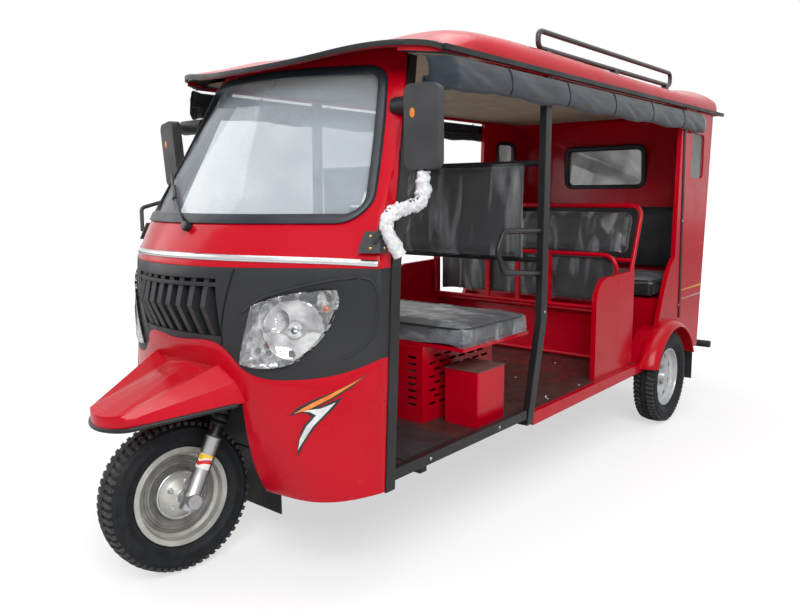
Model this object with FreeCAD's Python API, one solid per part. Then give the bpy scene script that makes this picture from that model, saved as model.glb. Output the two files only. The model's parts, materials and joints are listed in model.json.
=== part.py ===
import FreeCAD, Part
import math
import os
from FreeCAD import Vector

os.makedirs("parts", exist_ok=True)

# Passenger auto rickshaw, millimetres. The front looks along -Y, its left side is +X, Z is up.
# The origin lies on the ground at the middle of the overall length.

# Overall stations along the vehicle
wheelbase = 2644
front_overhang = 268
rear_overhang = 825
front_axle_y = front_overhang - (front_overhang + wheelbase + rear_overhang) / 2
rear_axle_y = front_axle_y + wheelbase
tail_y = rear_axle_y + rear_overhang

# Body envelope
half_width = 660
panel = 25
sheet = 6
floor_top = 372
floor_thickness = 15
rail_height = 60
roof_edge = 1722
roof_skin = 18
seam = 0.3
running = 0.1

# Wheels: 12 inch steel rims, tyres measured over the tips of the lugs
rim_flange_radius = 166
bead_radius = 152
front_tyre_radius = 258
front_tyre_width = 115
front_rim_width = 94
rear_tyre_radius = 252
rear_tyre_width = 124
rear_rim_width = 80
rear_track_half = 659

# Steering: raked axis behind the front axle, the bars rest turned to the right
rake = math.radians(28)
fork_offset = 35
rest_steer = -9
leg_half_spacing = 103
leg_radius = 27
leg_tube_radius = 20
leg_ring_radius = 31
leg_slider_end = 196
axle_boss_radius = 24
axle_boss_half = 35
axle_radius = 8
stem_radius = 15
half_shaft_radius = 15

# Stations of the cab, all measured from the front axle
bulkhead = 318
post_foot_z = 330
post_belt_z = 1040
post_head_z = 1728
post_foot = 339
post_belt = 377
post_head = 665
post_width = 44
post_depth = 30
mid_post_foot = 1207
mid_post_kink = 1304
mid_post_head = 1316
sill_bottom = 357

# The rear wall leans: how far its outer face lies behind the rear axle at two heights
rear_foot_z = 371
rear_foot = 594
rear_head_z = 1700
rear_head = 686

# Seats: heights of the cushions' undersides and tops
driver_cushion_bottom = 690
driver_cushion_top = 770
seat_side_gap = 40
seat_half_width = half_width - panel - seat_side_gap


def vec(x, y, z):
    return Vector(x, y, z)


def box(x0, x1, y0, y1, z0, z1):
    return Part.makeBox(x1 - x0, y1 - y0, z1 - z0, vec(x0, y0, z0))


def polygon(points):
    return Part.Face(Part.makePolygon(points + [points[0]]))


def prism_x(outline, x0, x1):
    # A side outline of (y, z) points, extruded across the vehicle
    face = polygon([vec(x0, y, z) for y, z in outline])
    return face.extrude(vec(x1 - x0, 0, 0))


def prism_y(outline, y0, y1):
    # A front outline of (x, z) points, extruded along the vehicle
    face = polygon([vec(x, y0, z) for x, z in outline])
    return face.extrude(vec(0, y1 - y0, 0))


def prism_z(outline, z0, z1):
    # A plan outline of (x, y) points, extruded upwards
    face = polygon([vec(x, y, z0) for x, y in outline])
    return face.extrude(vec(0, 0, z1 - z0))


def rounded_block(x0, x1, y0, y1, z0, z1, radius, along):
    # A block whose four edges along one axis are rounded
    block = box(x0, x1, y0, y1, z0, z1)
    direction = {"x": vec(1, 0, 0), "y": vec(0, 1, 0), "z": vec(0, 0, 1)}[along]
    edges = []
    for edge in block.Edges:
        run = edge.Vertexes[1].Point.sub(edge.Vertexes[0].Point).normalize()
        if abs(run.dot(direction)) > 0.99:
            edges.append(edge)
    return block.makeFillet(radius, edges)


def cylinder(radius, start, end):
    run = end.sub(start)
    return Part.makeCylinder(radius, run.Length, start, run)


def mirrored(shape):
    return shape.mirror(vec(0, 0, 0), vec(1, 0, 0))


def pair(shape):
    # The piece and its twin on the other side, as two solids of one node
    return Part.makeCompound([shape, mirrored(shape)])


def fused(shapes):
    return shapes[0].multiFuse(shapes[1:]).removeSplitter()


def rounded_path(points, bend):
    # Straight runs joined by tangent arcs
    edges = []
    start = points[0]
    for before, corner, after in zip(points, points[1:], points[2:]):
        into = corner.sub(before).normalize()
        out = after.sub(corner).normalize()
        turn = into.getAngle(out)
        if turn < 0.02:
            continue
        trim = bend * math.tan(turn / 2)
        first = corner.sub(into * trim)
        last = corner.add(out * trim)
        inner = out.sub(into).normalize()
        centre = corner.add(inner * (bend / math.cos(turn / 2)))
        middle = centre.sub(inner * bend)
        edges.append(Part.LineSegment(start, first).toShape())
        edges.append(Part.Arc(first, middle, last).toShape())
        start = last
    edges.append(Part.LineSegment(start, points[-1]).toShape())
    return Part.Wire(edges)


def bent_tube(points, radius, bend):
    # A round bar or closed tube that follows a rounded path
    path = rounded_path(points, bend)
    run = points[1].sub(points[0])
    ring = Part.Wire([Part.makeCircle(radius, points[0], run)])
    return path.makePipeShell([ring], True, False)


def revolved(profile, centre_x, centre_y, centre_z, angle=360, start=None):
    # A profile of (x, radius) points, turned about an axle that runs across the vehicle
    face = polygon([vec(centre_x + x, centre_y, centre_z + r) for x, r in profile])
    if start is not None:
        face.rotate(vec(centre_x, centre_y, centre_z), vec(1, 0, 0), start)
    return face.revolve(vec(centre_x, centre_y, centre_z), vec(1, 0, 0), angle)


def save(name, shape):
    shape.exportStep("parts/" + name + ".step")


# The front of the cab: plan sections from the bottom of the nose to the roof
# Each has its height, its half width, and how far the centre, the quarter, the shoulder
# and the side edge lie behind the front axle
nose_sections = [
    (270, 660, 176, 181, 194, 301),
    (600, 660, 66, 88, 171, 306),
    (780, 660, 36, 66, 186, 306),
    (930, 660, -9, 51, 196, 306),
    (1040, 660, 6, 56, 206, 306)]
cowl_sections = [
    (1040, 660, 6, 56, 206, 306),
    (1170, 629, 66, 112, 256, 350),
    (1420, 570, 235, 262, 384, 496),
    (1715, 500, 438, 466, 548, 622),
    (1800, 480, 496, 523, 596, 658)]
nose_lower_edge = [(0, 262), (300, 280), (500, 300), (half_width + 2, 335)]
band_lower_edge = [(0, 792), (215, 778), (268, 722), (440, 694), (560, 716), (half_width + 2, 766)]
quarter_share = 0.38
shoulder_share = 0.76


def section_wire(section, inset, ahead):
    height, width, centre, quarter, shoulder, side = section
    w = width - inset
    back = front_axle_y + post_head + 60
    front = front_axle_y + inset * ahead
    points = [vec(-w, front + side, height)]
    points.append(vec(-w * shoulder_share, front + shoulder, height))
    points.append(vec(-w * quarter_share, front + quarter, height))
    points.append(vec(0, front + centre, height))
    points.append(vec(w * quarter_share, front + quarter, height))
    points.append(vec(w * shoulder_share, front + shoulder, height))
    points.append(vec(w, front + side, height))
    curve = Part.BSplineCurve()
    curve.interpolate(points)
    left = vec(w, back, height)
    right = vec(-w, back, height)
    sides = Part.makePolygon([points[-1], left, right, points[0]])
    return Part.Wire([curve.toShape()] + sides.Edges)


def cab_solid(sections, inset, ahead=1.15):
    # The space inside the cab's front at a given depth below its outer skin
    return Part.makeLoft([section_wire(s, inset, ahead) for s in sections], True, False)


def between(value, low, high, start, end):
    return start + (end - start) * (value - low) / (high - low)


def post_line(height):
    # The front posts stand nearly upright to the belt line and lean back above it
    if height < post_belt_z:
        offset = between(height, post_foot_z, post_belt_z, post_foot, post_belt)
    else:
        offset = between(height, post_belt_z, post_head_z, post_belt, post_head)
    return front_axle_y + offset


def mid_post_line(height):
    # The middle posts rise straight from the kink below the belt line
    kink, head = (745, mid_post_kink), (1711, mid_post_head)
    return front_axle_y + between(height, kink[0], head[0], kink[1], head[1])


def rear_line(height, depth=0):
    # The rear wall's outer face, or a parallel plane in front of it
    return rear_axle_y - depth + between(height, rear_foot_z, rear_head_z, rear_foot, rear_head)


def ahead_of_rear(z0, z1, depth):
    # All the space in front of a plane parallel to the rear wall
    outline = [(0, z0), (rear_line(z0, depth), z0), (rear_line(z1, depth), z1), (0, z1)]
    return prism_x(outline, -half_width - 100, half_width + 100)


def cowl_half_width(height):
    # The cab narrows evenly above the belt line
    low, high = cowl_sections[0], cowl_sections[3]
    return between(height, low[0], high[0], low[1], high[1])


def ahead_of_posts(z0, z1):
    front = front_axle_y - 400
    edge = post_width / 2 + seam
    heights = [z0, z1]
    if z0 < post_belt_z < z1:
        heights = [z0, post_belt_z, z1]
    outline = [(front, z0)] + [(post_line(z) - edge, z) for z in heights] + [(front, z1)]
    return prism_x(outline, -half_width - 50, half_width + 50)


def under_curve(edge_points, depth):
    # A block under a curve drawn in the front view, mirrored about the middle
    right = [vec(-x, front_axle_y - 400, z) for x, z in reversed(edge_points[1:])]
    points = right + [vec(x, front_axle_y - 400, z) for x, z in edge_points]
    curve = Part.BSplineCurve()
    curve.interpolate(points)
    low = points[0].z - depth
    corners = [points[-1], vec(points[-1].x, points[-1].y, low), vec(points[0].x, points[0].y, low), points[0]]
    face = Part.Face(Part.Wire([curve.toShape()] + Part.makePolygon(corners).Edges))
    return face.extrude(vec(0, 900, 0))


# The wheel opening under the mudguard
opening_half = 255
opening_shoulder_z = 600
opening_top_half = 185
opening_top_z = 712

# The grille: a shallow pocket in the band, upright fins with a bend in them and one level bar
grille_half = 213
grille_low = 818
grille_high = 1004
grille_depth = 36
grille_wall = 3
fin_width = 24
fin_pitch = 50
fin_count = 8
fin_bend_z = 915
fin_bulge = 14
fin_root = 4
level_bar_z = 985
level_bar_height = 12
level_bar_depth = 11

# The headlamps stand a little proud of the band
lamp_proud = 8
lamp_depth = 22


def wheel_opening(clear=0):
    half = opening_half - clear
    top = opening_top_half - clear
    outline = [(-half, 200), (half, 200), (half, opening_shoulder_z), (top, opening_top_z - clear)]
    outline += [(-top, opening_top_z - clear), (-half, opening_shoulder_z)]
    return prism_y(outline, front_axle_y - 400, front_axle_y + bulkhead + 300)


def nose_shell():
    shell = cab_solid(nose_sections, 0).cut(cab_solid(nose_sections, panel))
    shell = shell.common(ahead_of_posts(200, 1040 - seam))
    return shell.cut(under_curve(nose_lower_edge, 300))


def nose_lower():
    lower = nose_shell().common(under_curve(band_lower_edge, 900))
    return lower.cut(wheel_opening())


def nose_skin(outer, inner):
    # A layer of the nose between two depths below its outer skin
    return cab_solid(nose_sections, outer).cut(cab_solid(nose_sections, inner))


def nose_y(x, height):
    # Where the nose's skin lies near its middle, between two of its plan sections
    for low, high in zip(nose_sections, nose_sections[1:]):
        if low[0] <= height <= high[0]:
            half, centre, quarter = [between(height, low[0], high[0], a, b) for a, b in zip(low[1:4], high[1:4])]
            return front_axle_y + centre + (quarter - centre) * (x / (quarter_share * half)) ** 2


def grille_zone(z0, z1, clear=0):
    half = grille_half + clear
    return box(-half, half, front_axle_y - 200, front_axle_y + 200, z0 - clear, z1 + clear)


def grille_fin(x):
    heights = (grille_low - fin_root, fin_bend_z, grille_high + fin_root)
    front = [(nose_y(x, z) + fin_root, z) for z in heights]
    front[1] = (nose_y(x, fin_bend_z) - fin_bulge, fin_bend_z)
    back = [(nose_y(x, z) + 1.2 * grille_depth, z) for z in reversed(heights)]
    return prism_x(front + back, x - fin_width / 2, x + fin_width / 2)


def nose_band():
    band = nose_shell().cut(under_curve(band_lower_edge, 900))
    housing = nose_skin(0, grille_depth + grille_wall).common(grille_zone(grille_low, grille_high, grille_wall))
    pocket = nose_skin(-20, grille_depth).common(grille_zone(grille_low, grille_high))
    band = fused([band, housing]).cut(pocket)
    low = level_bar_z - level_bar_height / 2
    parts = [band, nose_skin(1, level_bar_depth).common(grille_zone(low, low + level_bar_height))]
    first = -fin_pitch * (fin_count - 1) / 2
    parts += [grille_fin(first + index * fin_pitch) for index in range(fin_count)]
    opening = headlamp_prism(seam)
    return fused(parts).cut(opening).cut(mirrored(opening))


def headlamp_prism(clear=0):
    # A swept-back outline in the front view with soft corners, extruded along the vehicle
    y = front_axle_y - 100
    root, peak, tip, heel, foot = [vec(x, y, z) for x, z in
                                   ((272, 735), (330, 925), (548, 975), (556, 945), (430, 742))]
    edges = [Part.LineSegment(root, peak).toShape()]
    edges.append(Part.Arc(peak, vec(430, y, 960), tip).toShape())
    edges.append(Part.LineSegment(tip, heel).toShape())
    edges.append(Part.Arc(heel, vec(518, y, 832), foot).toShape())
    edges.append(Part.Arc(foot, vec(350, y, 726), root).toShape())
    wire = Part.Wire(edges)
    if clear:
        wire = wire.makeOffset2D(clear)
    return Part.Face(wire).extrude(vec(0, 500, 0))


# The windscreen: its opening in the cowl, the rubber seal in it and the glass
screen_bottom = 1172
screen_top = 1688
screen_bottom_half = 603
screen_top_half = 463
screen_corner = 75
seal_width = 30
glass_depth = 12
glass_thickness = 6


def screen_prism(inset):
    slope = (screen_bottom_half - screen_top_half) / (screen_top - screen_bottom)
    low = screen_bottom + inset
    high = screen_top - inset
    wide = screen_bottom_half - inset
    narrow = wide - slope * (high - low)
    outline = [(-wide, low), (wide, low), (narrow, high), (-narrow, high)]
    block = prism_y(outline, front_axle_y - 300, front_axle_y + 800)
    edges = []
    for edge in block.Edges:
        run = edge.Vertexes[1].Point.sub(edge.Vertexes[0].Point).normalize()
        if abs(run.y) > 0.99:
            edges.append(edge)
    return block.makeFillet(screen_corner - inset, edges)


def front_cowl():
    shell = cab_solid(cowl_sections, 0).cut(cab_solid(cowl_sections, panel))
    shell = shell.common(ahead_of_posts(1000, 1790))
    above = box(-900, 900, front_axle_y - 100, 0, roof_edge - 90, 1900)
    above = above.cut(roof_loft(roof_skin + seam, 900))
    return shell.cut(above).cut(screen_prism(0))


def screen_seal():
    skin = cab_solid(cowl_sections, -6).cut(cab_solid(cowl_sections, panel))
    return skin.common(screen_prism(seam)).cut(screen_prism(seal_width))


def screen_glass():
    outer = cab_solid(cowl_sections, glass_depth)
    skin = outer.cut(cab_solid(cowl_sections, glass_depth + glass_thickness))
    return skin.common(screen_prism(seal_width + seam))


# The mudguard over the front wheel, fixed to the nose: a bonnet of flat facets, open below
# Each section has its distance behind the front axle and its outline from the middle outwards:
# the top, a groove that starts at the front corner, the high crease, the low crease and the hem
mud_tip = front_overhang
mud_half = 103
mud_shoulder = -225
mud_sections = [
    (-240, [(0, 607), (78, 605), (82, 603), (88, 600), (98, 586), (103, 560)]),
    (70, [(0, 712), (4, 711), (100, 701), (182, 727), (240, 667), (262, 602)])]
mud_skin = 5


def mud_wire(share, inset):
    # The outline at a share of the way between the two sections, or past them
    (y0, first), (y1, last) = mud_sections
    y = front_axle_y + y0 + (y1 - y0) * share
    near = []
    for (x0, z0), (x1, z1) in zip(first, last):
        near.append(vec(x0 + (x1 - x0) * share, y, z0 + (z1 - z0) * share - inset))
    for point in near[1:]:
        point.x = max(point.x - inset, 0.5)
    if inset:
        near[-1].z -= 60
    far = [vec(-point.x, y, point.z) for point in reversed(near[1:])]
    return Part.makePolygon(far + near + [far[0]])


def mud_plan(inset):
    tip = front_axle_y - mud_tip + inset
    rear = front_axle_y + 130
    half = mud_half - inset
    wide = mud_sections[1][1][-1][0] + 60
    shoulder = front_axle_y + mud_shoulder
    arc = Part.Arc(vec(half, shoulder, 400), vec(0, tip, 400), vec(-half, shoulder, 400))
    corners = [vec(-half, shoulder, 400), vec(-wide, rear, 400), vec(wide, rear, 400), vec(half, shoulder, 400)]
    face = Part.Face(Part.Wire([arc.toShape()] + Part.makePolygon(corners).Edges))
    return face.extrude(vec(0, 0, 600))


def mud_loft(inset):
    solid = Part.makeLoft([mud_wire(-0.15, inset), mud_wire(1.2, inset)], True, True)
    return solid.common(mud_plan(inset))


def front_mudguard():
    return mud_loft(0).cut(mud_loft(mud_skin)).cut(cab_solid(nose_sections, -seam))


# The black inner arch behind the front wheel, with a hole for the steering head
def steer_point(distance, across=0, ahead=0):
    # A point at a distance up the steering axis, offset sideways and forward of it
    base_y = front_axle_y + fork_offset / math.cos(rake)
    y = base_y + distance * math.sin(rake) - ahead * math.cos(rake)
    z = front_tyre_radius + distance * math.cos(rake) + ahead * math.sin(rake)
    return vec(across, y, z)


head_tube_start = 395
head_tube_end = 575
head_tube_radius = 27


def wheel_well(nose):
    back = front_axle_y + bulkhead
    fold_z = 560
    front = front_axle_y + 96
    front_z = 690
    outline = [(back, 300), (back + sheet, 300), (back + sheet, fold_z), (front, front_z + sheet)]
    outline += [(front, front_z), (back, fold_z - sheet)]
    half = opening_half - seam
    sheet_back = prism_x(outline, -half, half)
    sides = [(back, 300), (back, fold_z - sheet), (front, front_z), (front, 560), (front + 118, 300)]
    cheek = prism_x(sides, half - sheet, half)
    hole = cylinder(head_tube_radius + 6, steer_point(200), steer_point(900))
    well = fused([sheet_back, cheek, mirrored(cheek)])
    return well.cut(hole).cut(nose)


# Chassis: two box rails, crossmembers, the arms up to the steering head and the rear bumper
rail_x = 300
rail_width = 45
bumper_z = 300
bumper_radius = 22


def chassis_frame():
    top = floor_top - floor_thickness
    low = top - rail_height
    front = front_axle_y + bulkhead + 12
    back = rear_line(rear_foot_z, panel) - 3
    shapes = []
    for side in (-1, 1):
        x = side * rail_x
        shapes.append(box(x - rail_width / 2, x + rail_width / 2, front, back, low, top))
    stations = [front, front + 520, front_axle_y + mid_post_foot, rear_axle_y - 620, rear_axle_y + 320, back - 45]
    for y in stations:
        shapes.append(box(-rail_x, rail_x, y, y + rail_width, low + 10, top - 5))
    for y in (front + 200, front_axle_y + mid_post_foot, rear_axle_y - 480):
        shapes.append(box(-half_width + panel + 2, half_width - panel - 2, y, y + 35, low + 25, top))
    head = cylinder(head_tube_radius, steer_point(head_tube_start), steer_point(head_tube_end))
    bore = cylinder(stem_radius + running, steer_point(head_tube_start - 5), steer_point(head_tube_end + 5))
    middle = steer_point((head_tube_start + head_tube_end) / 2 + 30)
    for side in (-1, 1):
        foot = vec(side * 120, front + 22, low + 40)
        knee = vec(side * 90, front + 40, middle.z - 120)
        arm = bent_tube([foot, knee, vec(side * 10, middle.y, middle.z)], 17, 60)
        shapes.append(arm)
    shapes.append(head)
    bar_y = tail_y - bumper_radius
    bar_half = half_width + 15
    shapes.append(cylinder(bumper_radius, vec(-bar_half, bar_y, bumper_z), vec(bar_half, bar_y, bumper_z)))
    for side in (-1, 1):
        x = side * rail_x
        shapes.append(box(x - 15, x + 15, back - 5, bar_y, bumper_z - 15, bumper_z + 15))
    return fused(shapes).cut(bore)


# Floor: one pressed sheet with notches for the rear wheels
arch_radius = 285
arch_centre_y = rear_axle_y + 18
arch_centre_z = 242
housing_inner = 566


def floor_pan():
    top = floor_top
    low = floor_top - floor_thickness
    half = half_width - panel - seam
    front = front_axle_y + bulkhead + sheet + seam
    rear = rear_line(floor_top - floor_thickness, panel + seam)
    pan = box(-half, half, front, rear, low, top)
    reach = arch_radius + sheet + 8
    for side in (-1, 1):
        x0, x1 = sorted((side * (housing_inner - sheet - seam), side * 700))
        pan = pan.cut(box(x0, x1, arch_centre_y - reach, arch_centre_y + reach, low - 5, top + 5))
    arms = box(-145, 145, front - 5, front + 66, low - 5, top + 5)
    return pan.cut(arms).cut(engine_block(8))


def sills():
    # Black door sills from the front posts to the middle posts
    sill_top = sill_bottom + 38
    front = post_line(sill_top) + post_width / 2 + seam
    rear = front_axle_y + mid_post_foot - post_width / 2 - seam
    sill = box(half_width - panel, half_width + 2, front, rear, sill_bottom, sill_top)
    return pair(sill)


# Side panels: skirt, rear quarter with its window and arch, and the wheel housing
window_front = 342
window_rear = 552
window_low = 1340
window_high = 1590
window_corner = 32
flare_out = 85
flare_reach = half_width + flare_out


def quarter_window(clear):
    y = rear_axle_y
    return rounded_block(half_width - 60, half_width + 20, y + window_front + clear, y + window_rear - clear,
                         window_low + clear, window_high - clear, window_corner - clear, "x")


def side_panel():
    y = rear_axle_y
    depth = panel + seam
    top = roof_edge - 10 - seam
    skirt_front = front_axle_y + mid_post_foot + 35
    skirt_top = floor_top
    outline = [(skirt_front, 318), (rear_line(330, depth), 330), (rear_line(top, depth), top), (y + 180, top),
               (y + 150, 900), (y + 96, 860), (y + 28, 760), (y - 60, 560), (y - 150, skirt_top),
               (skirt_front, skirt_top)]
    wall = prism_x(outline, half_width - panel, half_width)
    arch = revolved([(housing_inner - sheet - 20, 0), (flare_reach + 20, 0), (flare_reach + 20, arch_radius),
                     (housing_inner - sheet - 20, arch_radius)], 0, arch_centre_y, arch_centre_z)
    wall = wall.cut(quarter_window(0))
    housing = revolved([(housing_inner - sheet, arch_radius), (half_width - 5, arch_radius),
                        (half_width - 5, arch_radius + sheet), (housing_inner - sheet, arch_radius + sheet)],
                       0, arch_centre_y, arch_centre_z)
    disc = revolved([(housing_inner - sheet, 0), (housing_inner, 0), (housing_inner, arch_radius + sheet),
                     (housing_inner - sheet, arch_radius + sheet)], 0, arch_centre_y, arch_centre_z)
    inner_wall = disc.cut(box(0, 900, y - 70, y + 70, 0, 360))
    inner_wall = inner_wall.cut(box(0, 900, y - 900, y + 900, -200, 330))
    housing = housing.cut(box(0, 900, y - 900, y + 900, -200, 330))
    lip = flare_reach - 7
    knee = half_width + 40
    flare = revolved([(half_width - 8, 330), (knee, 326), (lip, 304), (flare_reach, 290), (flare_reach - 5, 286),
                      (knee, 306), (half_width - 8, 312)], 0, arch_centre_y, arch_centre_z)
    flare = flare.cut(box(0, 900, y - 900, y + 900, -200, 345))
    return fused([wall.cut(arch), housing, inner_wall, flare])


# Rear wall with its window
rear_window_half = 259
rear_window_low = 1300
rear_window_high = 1540


def rear_window(clear):
    y0 = rear_line(rear_window_low) - 80
    return rounded_block(-rear_window_half + clear, rear_window_half - clear, y0, y0 + 200,
                         rear_window_low + clear, rear_window_high - clear, window_corner - clear, "y")


def rear_wall():
    top = roof_edge - 10 - seam
    outline = [(rear_line(330, panel), 330), (rear_line(330), 330), (rear_line(top), top), (rear_line(top, panel), top)]
    return prism_x(outline, -half_width, half_width).cut(rear_window(0))


def rear_glass():
    # Fixed panes of both quarter windows and the rear window
    pane_x = half_width - panel / 2
    slab = box(pane_x - 3, pane_x + 3, rear_axle_y, tail_y, window_low - 20, window_high + 20)
    quarter = quarter_window(seam).common(slab)
    low = rear_window_low - 20
    high = rear_window_high + 20
    depth = panel / 2
    slab = ahead_of_rear(low, high, depth - 3).cut(ahead_of_rear(low, high, depth + 3))
    return Part.makeCompound([quarter, mirrored(quarter), rear_window(seam).common(slab)])


# Roof: a moulded shell whose front reaches over the windscreen as a flat visor
# Each section has its place along the vehicle, its half width, and how far its side, its
# rounded corner, its shoulder, its quarter and its crown stand above the roof's edge
roof_lip = 330
roof_corner = 516
roof_corner_half = 585
roof_taper = 110
roof_tail = 800
roof_side = half_width + 5
roof_sections = [
    (front_axle_y + 286, 690, -78, -70, -56, -38, -44),
    (front_axle_y + 400, 690, -44, -34, -14, -4, -8),
    (front_axle_y + 516, 690, -12, -2, 16, 28, 24),
    (front_axle_y + 620, 680, -4, 12, 38, 54, 52),
    (front_axle_y + 760, 665, 14, 52, 82, 90, 88),
    (front_axle_y + 1010, 665, 17, 73, 107, 132, 136),
    (front_axle_y + 1320, 665, 18, 76, 110, 145, 156),
    (rear_axle_y + 520, 665, 18, 76, 112, 146, 156),
    (rear_axle_y + 740, 665, 18, 74, 110, 142, 150),
    (rear_axle_y + 785, 665, 14, 62, 92, 118, 126),
    (rear_axle_y + 806, 665, 8, 34, 56, 76, 82)]


def roof_wire(section, inset, base):
    y, w, side, corner, shoulder, quarter, crown = section
    half = w - inset
    rises = [(half, side), (half - 18, corner), (half - 78, shoulder), (half * 0.45, quarter), (0, crown)]
    right = [vec(x, y, roof_edge + rise - inset) for x, rise in rises]
    left = [vec(-p.x, y, p.z) for p in reversed(right[:-1])]
    curve = Part.BSplineCurve()
    curve.interpolate(right + left)
    end = vec(-half, y, base)
    start = vec(half, y, base)
    frame = Part.makePolygon([left[-1], end, start, right[0]])
    return Part.Wire([curve.toShape()] + frame.Edges)


def roof_loft(inset, base=1500):
    return Part.makeLoft([roof_wire(s, inset, base) for s in roof_sections], True, False)


def roof_plan(inset, open_front=False):
    # Top outline: a bowed front edge over the windscreen, tapered front and rounded rear corners
    front = front_axle_y + roof_lip + inset
    corner = front_axle_y + roof_corner + inset
    rear = rear_axle_y + roof_tail - inset
    half = roof_corner_half - inset
    w = roof_side - inset
    round_off = 70
    low = 800
    corners = [vec(half, corner, low), vec(w, corner + roof_taper, low), vec(w, rear - round_off, low),
               vec(w - round_off, rear, low), vec(-w + round_off, rear, low), vec(-w, rear - round_off, low),
               vec(-w, corner + roof_taper, low), vec(-half, corner, low)]
    if open_front:
        ahead = front_axle_y - 300
        bow = [vec(-half, corner, low), vec(-half, ahead, low), vec(half, ahead, low), vec(half, corner, low)]
        bow = Part.makePolygon(bow).Edges
    else:
        bow = [Part.Arc(vec(-half, corner, low), vec(0, front, low), vec(half, corner, low)).toShape()]
    face = Part.Face(Part.Wire(bow + Part.makePolygon(corners).Edges))
    return face.extrude(vec(0, 0, 1400))


def roof_space(inset):
    # The room under the roof at a given depth below its outer skin, open towards the front
    return roof_loft(inset, 900).common(roof_plan(inset, True))


def roof_shell():
    visor = front_axle_y + 486
    skirt = box(-900, 900, visor, tail_y, 1400, roof_edge - 10)
    outer = roof_loft(0).common(roof_plan(0)).cut(skirt)
    return outer.cut(roof_space(roof_skin))


# Black edging round the whole roof: a ribbon on the visor's lip, gutters along the sides and tail
gutter_low = roof_edge - 6
gutter_high = roof_edge + 12
gutter_out = 16


def drip_rails():
    x = roof_side + seam
    front = front_axle_y + roof_corner + roof_taper
    rear = rear_axle_y + roof_tail + seam
    ring = roof_plan(-8).cut(roof_plan(-seam)).common(box(-900, 900, front_axle_y, front, 1500, 1900))
    above = roof_loft(0)
    above.translate(vec(0, 0, 3))
    below = roof_loft(0)
    below.translate(vec(0, 0, -15))
    ribbon = ring.common(above).cut(below)
    rail = box(x, x + gutter_out, front - 20, rear + 22, gutter_low, gutter_high)
    tail = box(-x, x, rear, rear + 22, gutter_low + 4, gutter_high)
    rails = fused([rail, mirrored(rail), tail])
    return Part.makeCompound([rails, ribbon.cut(rails)])


headliner_thickness = 8


def headliner():
    # Beige board that closes the roof from below
    top = post_head_z + headliner_thickness
    front = post_line(top) - post_width / 2
    slab = box(-half_width, half_width, front, rear_axle_y + 640, post_head_z, top)
    return slab.common(roof_space(roof_skin + seam))


# Roof rack: a closed hoop of tube standing along each side of the roof on short feet
rack_x = 548
rack_front = 1420
rack_rear = 259
rack_radius = 11
rack_low = roof_edge + 129
rack_high = roof_edge + 198
rack_bend = 28


def roof_rack():
    y0 = front_axle_y + rack_front
    y1 = rear_axle_y + rack_rear
    middle = (y0 + y1) / 2
    loop = [vec(rack_x, middle, rack_low), vec(rack_x, y0, rack_low), vec(rack_x, y0, rack_high),
            vec(rack_x, y1, rack_high), vec(rack_x, y1, rack_low), vec(rack_x, middle, rack_low)]
    hoop = bent_tube(loop, rack_radius, rack_bend)
    feet = []
    for y in (y0 + 70, middle, y1 - 70):
        feet.append(box(rack_x - 14, rack_x + 14, y - 20, y + 20, roof_edge + 90, rack_low - 4))
    return pair(fused([hoop] + feet).cut(roof_loft(-seam)))


# Black posts: leaning front posts, kinked middle posts, the trims on the quarter panels
def door_posts():
    x0 = half_width - panel
    x1 = x0 + post_depth
    top = roof_edge - 10 - seam
    half = post_width / 2
    levels = []
    for height in (post_foot_z, post_belt_z, post_head_z - seam):
        outer = min(x1, cowl_half_width(height) + x1 - half_width)
        y = post_line(height)
        corners = [vec(outer - post_depth, y - half, height), vec(outer, y - half, height),
                   vec(outer, y + half, height), vec(outer - post_depth, y + half, height)]
        levels.append(Part.makePolygon(corners + [corners[0]]))
    front = Part.makeLoft(levels, True, True)
    y = front_axle_y
    foot = y + mid_post_foot
    kink = y + mid_post_kink
    head = y + mid_post_head
    outline = [(foot - half, 330), (foot + half, 330), (kink + half, 740), (head + half, top),
               (head - half, top), (kink - half, 750)]
    middle = prism_x(outline, x0, x1)
    return [front, middle]


def quarter_trims():
    trim_y = rear_axle_y + 186
    trim = prism_x([(trim_y + 52, 545), (trim_y + 76, 545), (trim_y + 34, roof_edge - 10 - seam),
                    (trim_y + 10, roof_edge - 10 - seam)], half_width + seam, roof_side)
    return pair(trim)


# Driver's row: the vented engine cover, the engine, a tool box, cushion and backrest
cover_half = 400
cover_front = 841
cover_rear = 1330
cover_wall = 5
vent_low = 436
vent_rows = 8
vent_pitch = 27
vent_height = 10
vent_length = 46
tray_thickness = 12
engine_half = 190
engine_front = 901
engine_length = 300
engine_low = 260
engine_high = 560


def seat_box():
    y0 = front_axle_y + cover_front
    y1 = front_axle_y + cover_rear
    top = driver_cushion_bottom - tray_thickness - 2 * seam
    outer = box(-cover_half, cover_half, y0, y1, floor_top, top)
    wall = cover_wall
    inner = box(-cover_half + wall, cover_half - wall, y0 + wall, y1 - wall, floor_top - 5, top - wall)
    return outer.cut(inner).cut(Part.makeCompound(cover_vents(y0)))


def cover_vents(front):
    # Rows of short slots, in line on the front wall and staggered on both side walls
    vents = []
    for row in range(vent_rows):
        z = vent_low + row * vent_pitch
        for x in (-345, -225, -105, 105, 225, 345):
            vents.append(box(x - vent_length / 2, x + vent_length / 2, front - 1, front + cover_wall + 1,
                             z, z + vent_height))
        for column in range(6):
            y = front + 40 + column * 66 + (row % 2) * 33
            vents.append(box(-cover_half - 1, cover_half + 1, y, y + vent_length, z, z + vent_height))
    return vents


def seat_tray():
    # A folded sheet that carries the cushion where it reaches past the engine cover
    y0 = front_axle_y + cover_front + 8
    y1 = front_axle_y + cover_rear - 8
    top = driver_cushion_bottom - seam
    return box(-seat_half_width + 10, seat_half_width - 10, y0, y1, top - tray_thickness, top)


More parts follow.
